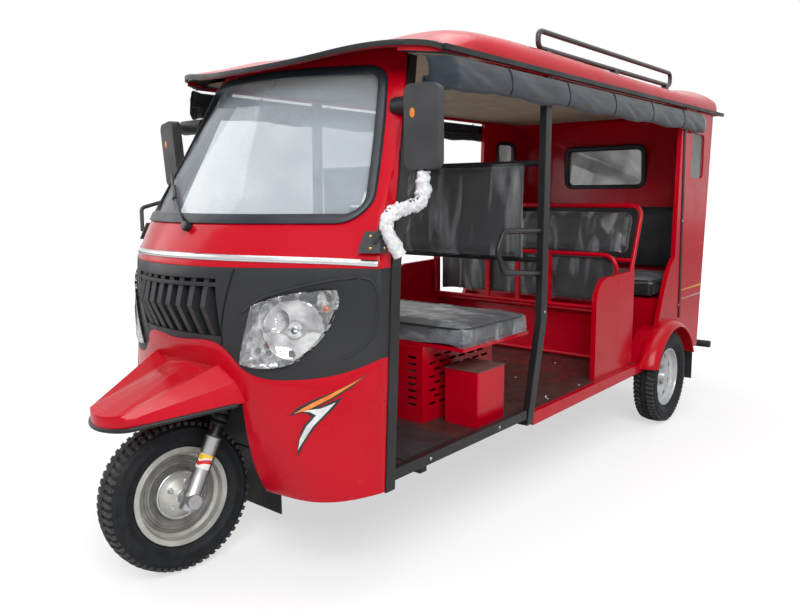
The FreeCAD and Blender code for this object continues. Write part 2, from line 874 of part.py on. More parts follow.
def side_box():
    y0 = front_axle_y + 920
    return rounded_block(445, 603, y0, y0 + 190, floor_top + seam, 590, 6, "z")


def engine_block(clear=0):
    y0 = front_axle_y + engine_front
    half = engine_half + clear
    return box(-half, half, y0 - clear, y0 + engine_length + clear, engine_low, engine_high)


def driver_cushion():
    y0 = front_axle_y + cover_front
    return rounded_block(-seat_half_width, seat_half_width, y0, y0 + 480, driver_cushion_bottom,
                         driver_cushion_top, 22, "z")


back_low = 992
back_high = 1380
back_bar_radius = 12
handle_radius = 11
handle_high = 1113
handle_low = 941


def back_frame():
    # Cross bars of the driver's backrest and the grab handles, all bolted to the middle posts
    reach = half_width - panel - seam
    shapes = []
    for height in (back_low, back_high):
        y = mid_post_line(height)
        shapes.append(cylinder(back_bar_radius, vec(-reach, y, height), vec(reach, y, height)))
    x = half_width - handle_radius + 1
    high_y = mid_post_line(handle_high) - post_width / 2 - seam
    low_y = mid_post_line(handle_low) - post_width / 2 - 2 * seam
    points = [vec(x, high_y, handle_high), vec(x, high_y - 274, handle_high + 7), vec(x, high_y - 319, handle_high - 66),
              vec(x, low_y - 269, handle_low + 24), vec(x, low_y, handle_low)]
    handle = bent_tube(points, handle_radius, 34)
    return Part.makeCompound(shapes + [handle, mirrored(handle)])


def driver_back():
    # A padded board that hangs on the front of the cross bars
    rear = mid_post_line(back_low) - back_bar_radius - seam
    return box(-585, 585, rear - 30, rear, back_low - 6, back_high + 6)


# Middle row: side panels, riser and back frame are fixed, the seat folds up against the back
middle_front = 1866
middle_rear = 2300
middle_panel_top = 858
middle_riser = 2291
middle_hinge = 2206
middle_hinge_z = 668
middle_seat_depth = 277
middle_half = 575
recline = math.radians(20)
back_bar_distance = 70


def middle_frame():
    y0 = front_axle_y + middle_front
    y1 = front_axle_y + middle_rear
    x0 = 607
    x1 = 632
    top = middle_panel_top
    points = [vec(x0, y0, floor_top), vec(x0, y1, floor_top), vec(x0, y1, top + 8), vec(x0, y0 + 120, top)]
    edges = Part.makePolygon([points[3], points[2], points[1], points[0], vec(x0, y0, top - 120)]).Edges
    bow = Part.Arc(vec(x0, y0, top - 120), vec(x0, y0 + 35, top - 35), vec(x0, y0 + 120, top)).toShape()
    side = Part.Face(Part.Wire(edges + [bow])).extrude(vec(x1 - x0, 0, 0))
    riser_y = front_axle_y + middle_riser
    riser = box(-x0, x0, riser_y, riser_y + 9, floor_top, 650)
    shapes = [side, mirrored(side), riser]
    for height in (floor_top + 14, 636):
        shapes.append(cylinder(13, vec(-x0, riser_y - 6, height), vec(x0, riser_y - 6, height)))
    lean = vec(0, math.sin(recline), math.cos(recline))
    foot = vec(0, y1 - 16, top - 10)
    post_top = foot.add(lean * 366)
    hoop = [vec(x0 + 10, foot.y, foot.z), vec(x0 + 10, post_top.y, post_top.z),
            vec(-x0 - 10, post_top.y, post_top.z), vec(-x0 - 10, foot.y, foot.z)]
    shapes.append(bent_tube(hoop, 12, 60))
    low_bar = foot.add(lean * back_bar_distance)
    shapes.append(cylinder(back_bar_radius, vec(-x0 - 10, low_bar.y, low_bar.z), vec(x0 + 10, low_bar.y, low_bar.z)))
    return fused(shapes)


def middle_back():
    y1 = front_axle_y + middle_rear
    lean = vec(0, math.sin(recline), math.cos(recline))
    foot = vec(0, y1 - 16, middle_panel_top - 10)
    pad_low = back_bar_distance + back_bar_radius + seam
    pad = rounded_block(-596, 596, -22, 22, pad_low, 350, 48, "y")
    pad.rotate(vec(0, 0, 0), vec(1, 0, 0), -math.degrees(recline))
    pad.translate(foot)
    return pad


def middle_seat_frame():
    # Tube frame of the folding seat, standing up on its hinge bar
    y = front_axle_y + middle_hinge
    low = middle_hinge_z
    high = middle_hinge_z + middle_seat_depth
    hoop = [vec(middle_half, y, low), vec(middle_half, y, high), vec(-middle_half, y, high), vec(-middle_half, y, low)]
    shapes = [bent_tube(hoop, 11, 75), cylinder(11, vec(-middle_half - 28, y, low), vec(middle_half + 28, y, low))]
    for x in (-middle_half / 2.9, 0, middle_half / 2.9):
        shapes.append(box(x - 12, x + 12, y - 8, y + 8, low, high))
    return fused(shapes)


def middle_cushion():
    y = front_axle_y + middle_hinge + 11 + seam
    return box(-middle_half + 15, middle_half - 15, y, y + 66, middle_hinge_z + 16, middle_hinge_z + middle_seat_depth + 4)


def hinge_brackets():
    # Ears on the side panels that hold the folding seat's hinge bar
    y = front_axle_y + middle_hinge
    x0 = middle_half + 17
    ear = box(x0, 607, y - 20, y + 20, middle_hinge_z - 22, middle_hinge_z + 22)
    return ear.cut(cylinder(11 + running, vec(x0 - 5, y, middle_hinge_z), vec(607, y, middle_hinge_z)))


# Rear bench over the axle
bench_front = 42
bench_top = 668
bench_cushion_top = 778
rear_back_top = 1195


def rear_seat_box():
    y0 = rear_axle_y + bench_front
    y1 = rear_line(floor_top, panel + seam)
    half = half_width - panel - seam
    outer = box(-half, half, y0, y1, floor_top + seam, bench_top)
    inner = box(-half + sheet, half - sheet, y0 + sheet, y1 - sheet, floor_top - 5, bench_top - sheet)
    reach = revolved([(housing_inner - 2 * sheet, 0), (900, 0), (900, arch_radius + sheet + seam),
                      (housing_inner - 2 * sheet, arch_radius + sheet + seam)], 0, arch_centre_y, arch_centre_z)
    return outer.cut(inner).cut(reach).cut(mirrored(reach))


def rear_cushion():
    y0 = rear_axle_y + bench_front - 10
    y1 = rear_line(bench_top, panel + seam) - 20
    return rounded_block(-seat_half_width, seat_half_width, y0, y1, bench_top + seam, bench_cushion_top, 20, "z")


def rear_back():
    # A padded board on the rear wall, leaning with it
    low = bench_cushion_top + 2
    depth = panel + seam
    outline = [(rear_line(low, depth + 66), low), (rear_line(low, depth), low),
               (rear_line(rear_back_top, depth), rear_back_top), (rear_line(rear_back_top, depth + 66), rear_back_top)]
    return prism_x(outline, -seat_half_width, seat_half_width)


# Dashboard across the cab behind the windscreen
def dashboard():
    y = front_axle_y
    top = post_belt_z - seam
    slab = prism_x([(y + 100, top), (y + 392, top), (y + 392, 990), (y + 360, 900), (y + 100, 900)],
                   -half_width, half_width)
    return slab.common(cab_solid(nose_sections, panel + seam)).common(ahead_of_posts(800, post_belt_z))


# Lamps, mirrors, flaps and the number plate's bracket
def headlamps():
    return pair(headlamp_prism().common(nose_skin(-lamp_proud, lamp_depth)))


def post_lamps():
    y = front_axle_y + 546
    lamp = cylinder(30, vec(520, y, 1545), vec(664, y, 1545))
    return pair(lamp.cut(cab_solid(cowl_sections, -seam)).cut(door_posts()[0]))


mirror_half_width = 60
mirror_half_height = 130
mirror_thickness = 40
mirror_station = 489
mirror_turn = 10
mirror_near = (683, 1467, 0)
mirror_far = (671, 1436, 7)


def mirror(x, z, tilt):
    # A head on a bent arm, whose plate is screwed to the corner of the cowl
    y = front_axle_y + mirror_station
    half = mirror_thickness / 2
    head = rounded_block(-mirror_half_width, mirror_half_width, -half, half,
                         -mirror_half_height, mirror_half_height, 26, "y")
    head.rotate(vec(0, 0, 0), vec(0, 0, 1), mirror_turn)
    head.rotate(vec(0, 0, 0), vec(0, 1, 0), tilt)
    head.translate(vec(x, y, z))
    plate_y = front_axle_y + 306
    outside = cab_solid(cowl_sections, -seam)
    plate = box(600, 700, plate_y - 35, plate_y + 35, 1086, 1150).common(cab_solid(cowl_sections, -11)).cut(outside)
    knee = vec(672, plate_y + 20, 1210)
    elbow = vec(x, y, 1250)
    arm = bent_tube([vec(half_width - 20, plate_y, 1118), knee, elbow, vec(x, y, z - mirror_half_height + 10)], 8, 24)
    return fused([head, plate, arm.cut(outside)])


def mirrors():
    return Part.makeCompound([mirror(*mirror_near), mirrored(mirror(*mirror_far))])


def mudflaps():
    back = front_axle_y + bulkhead - seam
    front = box(-165, 165, back - 6, back, 120, 330)
    y = arch_centre_y + 330
    wide = flare_reach - 30
    low = box(600, wide, y, y + 5, 175, 317 - seam)
    rear = low.fuse(box(half_width + seam, wide, y, y + 5, 317 - seam, 400)).removeSplitter()
    return Part.makeCompound([front, rear, mirrored(rear)])


def tail_lamps():
    y = rear_line(560)
    lamp = rounded_block(500, 610, y - 5, y + 38, 560, 640, 12, "y")
    return pair(lamp.cut(ahead_of_rear(500, 700, -seam)))


plate_bolt_spacing = 150
plate_bolt_z = 480
plate_top = 520


def plate_bracket():
    # A plate on two spacers, upright behind the leaning wall
    y = rear_line(plate_top) + 12
    plate = box(-130, 130, y, y + 3, plate_top - 120, plate_top)
    for x in (-100, 100):
        spacer = box(x - 12, x + 12, y - 40, y, plate_top - 100, plate_top - 20)
        plate = plate.fuse(spacer.cut(ahead_of_rear(300, 700, -seam)))
    for side in (-1, 1):
        x = side * plate_bolt_spacing / 2
        plate = plate.cut(cylinder(3.5, vec(x, y - 5, plate_bolt_z), vec(x, y + 30, plate_bolt_z)))
    return plate.removeSplitter()


# Rear axle with its differential, leaf springs and brake plates, and the propeller shaft
spring_x = 400


def rear_axle():
    y = rear_axle_y
    z = rear_tyre_radius
    shapes = [cylinder(30, vec(-560, y, z), vec(560, y, z))]
    shapes.append(cylinder(85, vec(-60, y, z), vec(60, y, z)))
    engine_rear = front_axle_y + engine_front + engine_length
    shapes.append(cylinder(22, vec(0, y - 60, z + 4), vec(0, engine_rear + seam, 282)))
    for side in (-1, 1):
        x0, x1 = sorted((side * 552, side * 562))
        shapes.append(cylinder(105, vec(x0, y, z), vec(x1, y, z)))
        x = side * spring_x
        leaf = [vec(x, y - 420, 322), vec(x, y, z + 34), vec(x, y + 420, 322)]
        spine = Part.Arc(*leaf).toShape()
        profile = Part.makePolygon([vec(x - 25, y - 420, 312), vec(x + 25, y - 420, 312),
                                    vec(x + 25, y - 420, 334), vec(x - 25, y - 420, 334),
                                    vec(x - 25, y - 420, 312)])
        shapes.append(Part.Wire([spine]).makePipeShell([profile], True, False))
        for end in (-1, 1):
            shapes.append(box(x - 28, x + 28, y + end * 420 - 18, y + end * 420 + 18, 312, 357 - seam))
    bore = cylinder(half_shaft_radius + running, vec(-700, y, z), vec(-500, y, z))
    return fused(shapes).cut(bore).cut(mirrored(bore))


# Steering group, modelled straight ahead and then turned to its rest angle
def steered(shape):
    turned = shape.copy()
    turned.rotate(steer_point(0), vec(0, math.sin(rake), math.cos(rake)), rest_steer)
    return turned


yoke_distance = 335
yoke_height = 26
bar_distance = 900


def fork():
    shapes = []
    for side in (-1, 1):
        x = side * leg_half_spacing
        for radius, low, high in ((leg_radius, -40, leg_slider_end), (leg_ring_radius, leg_slider_end, leg_slider_end + 10),
                                  (leg_radius - 3, leg_slider_end + 10, leg_slider_end + 42),
                                  (leg_tube_radius, leg_slider_end + 42, yoke_distance + 20),
                                  (leg_ring_radius, -8, 2), (leg_ring_radius - 4, -52, -40)):
            shapes.append(cylinder(radius, steer_point(low, x, fork_offset), steer_point(high, x, fork_offset)))
    yoke = prism_z([(-128, -28), (128, -28), (128, 60), (-128, 60)], -yoke_height / 2, yoke_height / 2)
    yoke.rotate(vec(0, 0, 0), vec(1, 0, 0), -math.degrees(rake))
    shift = steer_point(yoke_distance, 0, 20)
    yoke.translate(shift)
    shapes.append(yoke)
    shapes.append(cylinder(stem_radius, steer_point(yoke_distance), steer_point(bar_distance)))
    y = front_axle_y
    z = front_tyre_radius
    shapes.append(cylinder(axle_radius, vec(-leg_half_spacing - 38, y, z), vec(leg_half_spacing + 38, y, z)))
    for side in (-1, 1):
        x = side * leg_half_spacing
        shapes.append(cylinder(axle_boss_radius, vec(x - axle_boss_half, y, z), vec(x + axle_boss_half, y, z)))
    return fused(shapes)


def handlebar():
    centre = steer_point(bar_distance)
    shapes = [cylinder(24, steer_point(bar_distance - 6 + seam + 6), steer_point(bar_distance + 34))]
    mid = steer_point(bar_distance + 18)
    for side in (-1, 1):
        points = [mid, vec(side * 90, mid.y, mid.z), vec(side * 200, mid.y + 60, mid.z + 60),
                  vec(side * 330, mid.y + 110, mid.z + 50)]
        shapes.append(bent_tube(points, 11, 50))
        grip = points[-1]
        out = points[-1].sub(points[-2]).normalize()
        shapes.append(cylinder(17, grip.sub(out * 110), grip))
    return fused(shapes)


# Wheels: steel rims with a dished disc, hub and tyre
def rim_profile(width):
    half = width / 2
    return [(-half, rim_flange_radius), (-half + 5, rim_flange_radius), (-half + 7, bead_radius),
            (-half + 24, bead_radius - 2), (-half + 30, 138), (half - 30, 138), (half - 24, bead_radius - 2),
            (half - 7, bead_radius), (half - 5, rim_flange_radius), (half, rim_flange_radius),
            (half, bead_radius - 4), (half - 26, bead_radius - 8), (half - 33, 132), (-half + 33, 132),
            (-half + 26, bead_radius - 8), (-half, bead_radius - 4)]


tyre_facets = 72


def tyre_profile(width, radius, rim_width):
    half = width / 2
    seat = rim_width / 2 - 7 - seam
    right = [(seat, bead_radius + seam), (seat + 1, rim_flange_radius + 2), (half, rim_flange_radius + 36),
             (half - 2, radius - 30), (half - 14, radius - 6)]
    return right + [(0, radius)] + [(-x, r) for x, r in reversed(right)]


def tyre_ring(profile, centre_x, centre_y, centre_z):
    # A ring of flat facets between turned copies of the profile
    axle = vec(centre_x, centre_y, centre_z)
    sections = []
    for index in range(tyre_facets):
        outline = [axle.add(vec(x, 0, r)) for x, r in profile]
        wire = Part.makePolygon(outline + [outline[0]])
        wire.rotate(axle, vec(1, 0, 0), 360 / tyre_facets * index)
        sections.append(wire)
    return Part.makeLoft(sections, True, True, True)


def front_rim():
    y = front_axle_y
    z = front_tyre_radius
    barrel = revolved(rim_profile(front_rim_width), 0, y, z)
    disc = revolved([(-4, 70), (2, 70), (10, 100), (6, 136), (0, 136), (4, 100)], 0, y, z)
    hub = revolved([(-58, 0), (58, 0), (58, 26), (40, 60), (20, 78), (-20, 78), (-40, 60), (-58, 26)], 0, y, z)
    wheel = fused([barrel, disc, hub])
    return wheel.cut(cylinder(axle_radius + running, vec(-80, y, z), vec(80, y, z)))


def front_tyre():
    profile = tyre_profile(front_tyre_width, front_tyre_radius, front_rim_width)
    return tyre_ring(profile, 0, front_axle_y, front_tyre_radius)


def rear_rim():
    x = rear_track_half
    y = rear_axle_y
    z = rear_tyre_radius
    barrel = revolved(rim_profile(rear_rim_width), x, y, z)
    disc = revolved([(-10, 0), (-4, 0), (-4, 60), (10, 90), (6, 136), (0, 136), (4, 92), (-10, 62)], x, y, z)
    drum = revolved([(-86, 40), (-60, 95), (-10, 95), (-10, 0), (-86, 0)], x, y, z)
    cap = revolved([(-5, 0), (34, 0), (30, 24), (-5, 36)], x, y, z)
    shaft = cylinder(half_shaft_radius, vec(x - 150, y, z), vec(x - 20, y, z))
    wheel = fused([barrel, disc, drum, cap, shaft])
    for index in range(8):
        angle = math.radians(45 * index + 22.5)
        hole = cylinder(13, vec(x - 40, y + 113 * math.cos(angle), z + 113 * math.sin(angle)),
                        vec(x + 40, y + 113 * math.cos(angle), z + 113 * math.sin(angle)))
        wheel = wheel.cut(hole)
    return wheel


def rear_tyre():
    profile = tyre_profile(rear_tyre_width, rear_tyre_radius, rear_rim_width)
    return tyre_ring(profile, rear_track_half, rear_axle_y, rear_tyre_radius)


# Rolled-up rain curtains under the roof edges, simple solids of their outer shape
curtain_low = 1600
curtain_rear = 448
curtain_drop = 22


def curtain_outline(top):
    x0 = roof_side + seam
    return [(x0, top), (x0, curtain_low + 4), (x0 + 16, curtain_low), (x0 + 32, curtain_low + 14),
            (x0 + 30, curtain_low + 50), (x0 + 14, top)]


def curtains():
    # Each roll hangs below the gutter and turns inwards under the visor's ribbon
    y0 = front_axle_y + roof_corner + roof_taper
    y1 = rear_axle_y + curtain_rear
    roll = prism_y(curtain_outline(gutter_low - seam), y0, y1)
    face = polygon([vec(x, y0, z) for x, z in curtain_outline(gutter_low - curtain_drop)])
    return pair(fused([roll, face.extrude(vec(-50, -70, 0))]))


save("chassis_frame", chassis_frame())
save("floor_pan", floor_pan())
save("sills", sills())
lower_shell = nose_lower()
save("wheel_well", wheel_well(lower_shell))
save("nose_lower", lower_shell)
save("nose_band", nose_band())
save("front_cowl", front_cowl())
save("screen_seal", screen_seal())
save("screen_glass", screen_glass())
save("front_mudguard", front_mudguard())
save("dashboard", dashboard())
save("headlamps", headlamps())
save("roof_shell", roof_shell())
save("drip_rails", drip_rails())
save("headliner", headliner())
save("roof_rack", roof_rack())
front_post, middle_post = door_posts()
save("front_posts", pair(front_post))
save("middle_posts", pair(middle_post))
save("quarter_trims", quarter_trims())
panel_left = side_panel()
save("side_panel_left", panel_left)
save("side_panel_right", mirrored(panel_left))
save("rear_wall", rear_wall())
save("rear_glass", rear_glass())
save("seat_box", seat_box())
save("seat_tray", seat_tray())
save("side_box", side_box())
save("engine_block", engine_block())
save("driver_cushion", driver_cushion())
save("driver_back", driver_back())
save("back_frame", back_frame())
ear = hinge_brackets()
save("middle_frame", fused([middle_frame(), ear, mirrored(ear)]))
save("middle_back", middle_back())
save("middle_seat_frame", middle_seat_frame())
save("middle_cushion", middle_cushion())
save("rear_seat_box", rear_seat_box())
save("rear_cushion", rear_cushion())
save("rear_back", rear_back())
save("curtains", curtains())
save("mirrors", mirrors())
save("post_lamps", post_lamps())
save("rear_axle", rear_axle())
save("mudflaps", mudflaps())
save("tail_lamps", tail_lamps())
save("plate_bracket", plate_bracket())
save("fork", steered(fork()))
save("handlebar", steered(handlebar()))
save("front_rim", steered(front_rim()))
save("front_tyre", steered(front_tyre()))
wheel_left = rear_rim()
save("rear_rim_left", wheel_left)
save("rear_rim_right", mirrored(wheel_left))
tyre_left = rear_tyre()
save("rear_tyre_left", tyre_left)
save("rear_tyre_right", mirrored(tyre_left))
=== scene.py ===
import bpy
import json
import math
from mathutils import Matrix, Vector, noise


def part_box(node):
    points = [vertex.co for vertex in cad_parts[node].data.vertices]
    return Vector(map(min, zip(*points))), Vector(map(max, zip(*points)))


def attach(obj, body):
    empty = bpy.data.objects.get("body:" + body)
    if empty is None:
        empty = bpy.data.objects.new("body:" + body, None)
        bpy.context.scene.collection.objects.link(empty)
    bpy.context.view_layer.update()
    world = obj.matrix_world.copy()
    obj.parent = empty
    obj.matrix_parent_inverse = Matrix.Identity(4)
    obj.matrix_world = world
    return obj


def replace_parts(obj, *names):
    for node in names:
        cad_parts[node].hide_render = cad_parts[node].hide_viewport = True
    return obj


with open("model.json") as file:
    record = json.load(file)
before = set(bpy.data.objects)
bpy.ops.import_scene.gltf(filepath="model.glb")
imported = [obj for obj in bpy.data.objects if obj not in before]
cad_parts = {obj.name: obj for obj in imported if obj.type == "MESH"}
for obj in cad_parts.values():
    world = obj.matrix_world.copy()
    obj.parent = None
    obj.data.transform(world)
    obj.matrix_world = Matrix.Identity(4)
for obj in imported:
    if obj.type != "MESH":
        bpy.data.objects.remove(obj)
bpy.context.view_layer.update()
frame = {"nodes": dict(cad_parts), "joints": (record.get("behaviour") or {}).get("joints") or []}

# Camera: stands in front of the vehicle's left corner a little above the belt line, with the
# slight roll and the small lens shift that the photograph has.
photo_width = 800
focal_pixels = 737.2
camera_place = Vector((2.119, -2.9445, 1.264))
camera_yaw = math.radians(39.81)
camera_pitch = math.radians(7.97)
camera_roll = math.radians(-0.35)
bpy.ops.object.camera_add(location=camera_place)
camera = bpy.context.object
camera.name = "photo_camera"
camera.data.sensor_width = 36
camera.data.lens = focal_pixels * camera.data.sensor_width / photo_width
camera.data.shift_x = -0.0025
camera.data.shift_y = -0.0145
sight = Vector((-math.sin(camera_yaw) * math.cos(camera_pitch),
                math.cos(camera_yaw) * math.cos(camera_pitch),
                -math.sin(camera_pitch)))
level = Vector((math.cos(camera_yaw), math.sin(camera_yaw), 0))
upright = level.cross(sight)
across = level * math.cos(camera_roll) + upright * math.sin(camera_roll)
upright = upright * math.cos(camera_roll) - level * math.sin(camera_roll)
turn = Matrix((across, upright, -sight)).transposed()
camera.matrix_world = Matrix.Translation(camera_place) @ turn.to_4x4()
bpy.context.scene.camera = camera
bpy.context.scene.view_settings.view_transform = "Standard"


# Studio: a pale floor that runs on past the view, an even pale sky and three large soft lamps.
# What the lens, the gloss and the glass see of the floor and the sky is white, and the floor
# keeps the vehicle's shadow.
def node(tree, kind, values, feeds=None, does=None):
    # A shader node: the even values of its sockets, what feeds them, and its operation
    item = tree.nodes.new("ShaderNode" + kind)
    if does:
        item.operation = does
    for socket, value in values.items():
        item.inputs[socket].default_value = value
    for socket, source in (feeds or {}).items():
        tree.links.new(source, item.inputs[socket])
    return item.outputs


def seen_rays(tree, *kinds):
    # One where a ray of the named kinds looks, zero elsewhere
    path = node(tree, "LightPath", {})
    seen = path["Is " + kinds[0] + " Ray"]
    for kind in kinds[1:]:
        seen = node(tree, "Math", {}, {0: seen, 1: path["Is " + kind + " Ray"]}, "MAXIMUM")[0]
    return seen


floor_size = 60
floor_near = 2.0
floor_far = 6.0
floor_glow = (0.6, 1.0)
sky_power = (0.32, 1.0)
bpy.ops.mesh.primitive_plane_add(size=floor_size, location=(0, 0, 0))
floor = bpy.context.object
floor.name = "studio_floor"
floor_paint = bpy.data.materials.new("studio_floor")
floor_paint.use_nodes = True
tree = floor_paint.node_tree
shader = tree.nodes["Principled BSDF"].inputs
shader["Roughness"].default_value = 0.9
shader["Specular IOR Level"].default_value = 0.1
shader["Emission Color"].default_value = (1, 1, 1, 1)
seen = seen_rays(tree, "Camera", "Transmission")
tone = tree.nodes.new("ShaderNodeMix")
tone.data_type = "RGBA"
tone.inputs["A"].default_value = (0.82, 0.82, 0.82, 1)
tone.inputs["B"].default_value = (0.42, 0.42, 0.42, 1)
tree.links.new(seen, tone.inputs["Factor"])
tree.links.new(tone.outputs["Result"], shader["Base Color"])
place = node(tree, "TexCoord", {})["Object"]
reach = node(tree, "VectorMath", {}, {0: place}, "LENGTH")["Value"]
far = node(tree, "MapRange", {"From Min": floor_near, "From Max": floor_far, "To Min": floor_glow[0],
                              "To Max": floor_glow[1]}, {"Value": reach})[0]
lift = node(tree, "Math", {}, {0: seen, 1: far}, "MULTIPLY")[0]
tree.links.new(lift, shader["Emission Strength"])
floor.data.materials.append(floor_paint)
world = bpy.data.worlds.new("studio_sky")
bpy.context.scene.world = world
world.use_nodes = True
tree = world.node_tree
sky = tree.nodes["Background"].inputs
sky["Color"].default_value = (1, 1, 1, 1)
shown = seen_rays(tree, "Camera", "Transmission", "Glossy")
power = node(tree, "MapRange", {"To Min": sky_power[0], "To Max": sky_power[1]}, {"Value": shown})[0]
tree.links.new(power, sky["Strength"])
for name, place, size, watts in (("key", (4.5, -4.5, 5.5), 4.0, 430),
                                 ("fill", (-5.0, -4.0, 4.0), 5.0, 150),
                                 ("top", (0.0, 1.0, 6.5), 6.0, 230)):
    bpy.ops.object.light_add(type="AREA", location=place)
    lamp = bpy.context.object
    lamp.name = "studio_" + name
    lamp.data.size = size
    lamp.data.energy = watts
    aim = Vector((0, 0, 0.8)) - Vector(place)
    lamp.rotation_euler = aim.to_track_quat("-Z", "Y").to_euler()


# Chassis: welded box rails, crossmembers, the steering head's arms and the rear bumper bar, all
# in satin black paint that is a little dusty, as are the arch sheet behind the front wheel and the
# rear axle.
def plain(name, colour, rough, metal=0.0, specular=0.5, coat=0.0):
    # A finish whose even values sit on the shader itself
    paint = bpy.data.materials.new(name)
    paint.use_nodes = True
    shader = paint.node_tree.nodes["Principled BSDF"].inputs
    shader["Base Color"].default_value = (*colour, 1)
    shader["Roughness"].default_value = rough
    shader["Metallic"].default_value = metal
    shader["Specular IOR Level"].default_value = specular
    shader["Coat Weight"].default_value = coat
    shader["Coat Roughness"].default_value = 0.05
    return paint


def ramp(tree, factor, stops, stepped=False):
    # A colour ramp through its (position, colour) stops
    item = tree.nodes.new("ShaderNodeValToRGB")
    if stepped:
        item.color_ramp.interpolation = "CONSTANT"
    while len(item.color_ramp.elements) < len(stops):
        item.color_ramp.elements.new(0.5)
    for element, (position, colour) in zip(item.color_ramp.elements, stops):
        element.position = position
        element.color = (*colour, 1)
    tree.links.new(factor, item.inputs["Fac"])
    return item.outputs["Color"]


def grained(paint, size, height, gloss=None, stretch=(1, 1, 1)):
    # Fine unevenness that the light catches, and with it an uneven gloss
    tree = paint.node_tree
    shader = tree.nodes["Principled BSDF"].inputs
    place = node(tree, "TexCoord", {})["Object"]
    along = node(tree, "Mapping", {"Scale": stretch}, {"Vector": place})[0]
    grain = node(tree, "TexNoise", {"Scale": 1 / size, "Detail": 3}, {"Vector": along})[0]
    relief = node(tree, "Bump", {"Distance": height, "Strength": 0.6}, {"Height": grain})[0]
    tree.links.new(relief, shader["Normal"])
    if gloss:
        broad = node(tree, "TexNoise", {"Scale": 9, "Detail": 6}, {"Vector": place})[0]
        shine = node(tree, "MapRange", {"From Min": 0.3, "From Max": 0.7, "To Min": gloss[0],
                                        "To Max": gloss[1]}, {"Value": broad})[0]
        tree.links.new(shine, shader["Roughness"])
    return paint


def finish(name, dark, light, patch, grain, gloss, stretch=(1, 1, 1), **shader_values):
    # Soft patches between two tones, a grain (size, height) and a gloss (least, most rough)
    paint = plain(name, light, gloss[1], **shader_values)
    tree = paint.node_tree
    place = node(tree, "TexCoord", {})["Object"]
    patches = node(tree, "TexNoise", {"Scale": 1 / patch, "Detail": 5}, {"Vector": place})[0]
    tones = ramp(tree, patches, ((0.3, dark), (0.7, light)))
    tree.links.new(tones, tree.nodes["Principled BSDF"].inputs["Base Color"])
    return grained(paint, *grain, gloss, stretch)


def rounded(piece, width, segments=1, angle=30):
    radius = piece.modifiers.new("edge", "BEVEL")
    radius.width = width
    radius.segments = segments
    radius.limit_method = "ANGLE"
    radius.angle_limit = math.radians(angle)
    return radius


def dress(paint, *names, edge=0.0012):
    # The construction's own pieces get their finish and a small radius on their edges
    for name in names:
        piece = frame["nodes"][name]
        piece.data.materials.clear()
        piece.data.materials.append(paint)
        weld = piece.modifiers.new("weld", "WELD")
        weld.merge_threshold = 0.00001
        if edge:
            rounded(piece, edge, 2, 45)


frame_paint = finish("satin_black_frame", (0.009, 0.009, 0.01), (0.022, 0.021, 0.02), 0.12,
                     (0.003, 0.0002), (0.35, 0.6), specular=0.25)
dress(frame_paint, "chassis_frame", "wheel_well", "rear_axle")

# Floor: a pressed sheet under dark brown glossy covering, with pan-head screws along its edges
# and a thin rubber mat at the driver's feet.
floor_paint = finish("brown_floor", (0.03, 0.017, 0.014), (0.062, 0.037, 0.03), 0.05,
                     (0.006, 0.0004), (0.22, 0.5))
dress(floor_paint, "floor_pan")
floor_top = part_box("floor_pan")[1].z


def only(piece):
    # The one piece that the next steps work on
    bpy.ops.object.select_all(action="DESELECT")
    piece.select_set(True)
    bpy.context.view_layer.objects.active = piece
    return piece


def baked(piece):
    # Its place, turn and scale go into its mesh
    only(piece)
    bpy.ops.object.transform_apply(location=True, rotation=True, scale=True)
    return piece


def settle(piece, name, paint, body="vehicle"):
    # A finished piece: its place goes into its mesh, then it gets finish and body
    baked(piece)
    piece.name = name
    piece.data.materials.clear()
    piece.data.materials.append(paint)
    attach(piece, body)
    return piece


def joined(parts):
    bpy.ops.object.select_all(action="DESELECT")
    for part in parts:
        part.select_set(True)
    bpy.context.view_layer.objects.active = parts[0]
    bpy.ops.object.join()
    return bpy.context.object


def apply_all(piece):
    only(piece)
    bpy.context.view_layer.update()
    for modifier in list(piece.modifiers):
        bpy.ops.object.modifier_apply(modifier=modifier.name)
    return piece


def block(centre, size):
    bpy.ops.mesh.primitive_cube_add(size=1, location=centre, scale=size)
    return baked(bpy.context.object)


def screw_heads(places, facing, radius):
    # Domed screw heads, all alike, seated on one flat surface
    heads = []
    turn = Vector(facing).to_track_quat("Z", "Y").to_euler()
    for place in places:
        bpy.ops.mesh.primitive_uv_sphere_add(segments=12, ring_count=8, radius=radius, location=place,
                                             rotation=turn)
        head = bpy.context.object
        head.scale = (1, 1, 0.45)
        heads.append(head)
    group = baked(joined(heads))
    bpy.ops.object.shade_smooth()
    return group


steel = finish("zinc_plated_steel", (0.3, 0.29, 0.27), (0.5, 0.49, 0.46), 0.006,
               (0.001, 0.00005), (0.25, 0.5), metal=0.85)
floor_screw_radius = 0.007
screw_rows = ((0.604, (-1.14, -0.86, -0.58, -0.14, 0.16, 0.46)), (0.3, (-1.1, -0.9, -0.32, 0.1, 0.5)))
places = [(side * x, y, floor_top) for side in (-1, 1) for x, row in screw_rows for y in row]
settle(screw_heads(places, (0, 0, 1), floor_screw_radius), "floor_screws", steel)
mat_rubber = finish("ribbed_black_mat", (0.015, 0.015, 0.017), (0.03, 0.031, 0.034), 0.03,
                    (0.004, 0.0008), (0.4, 0.65), (1, 12, 1), specular=0.4)
mat_size = (0.25, 0.3, 0.0035)
mat_corner = 0.03
mat_edge = 0.001
for side, name in ((-1, "foot_mat_right"), (1, "foot_mat_left")):
    mat = block((side * 0.47, -0.965, floor_top + 0.002), mat_size)
    rounded(mat, mat_corner, 4).affect = "VERTICES"
    rounded(mat, mat_edge)
    settle(apply_all(mat), name, mat_rubber)

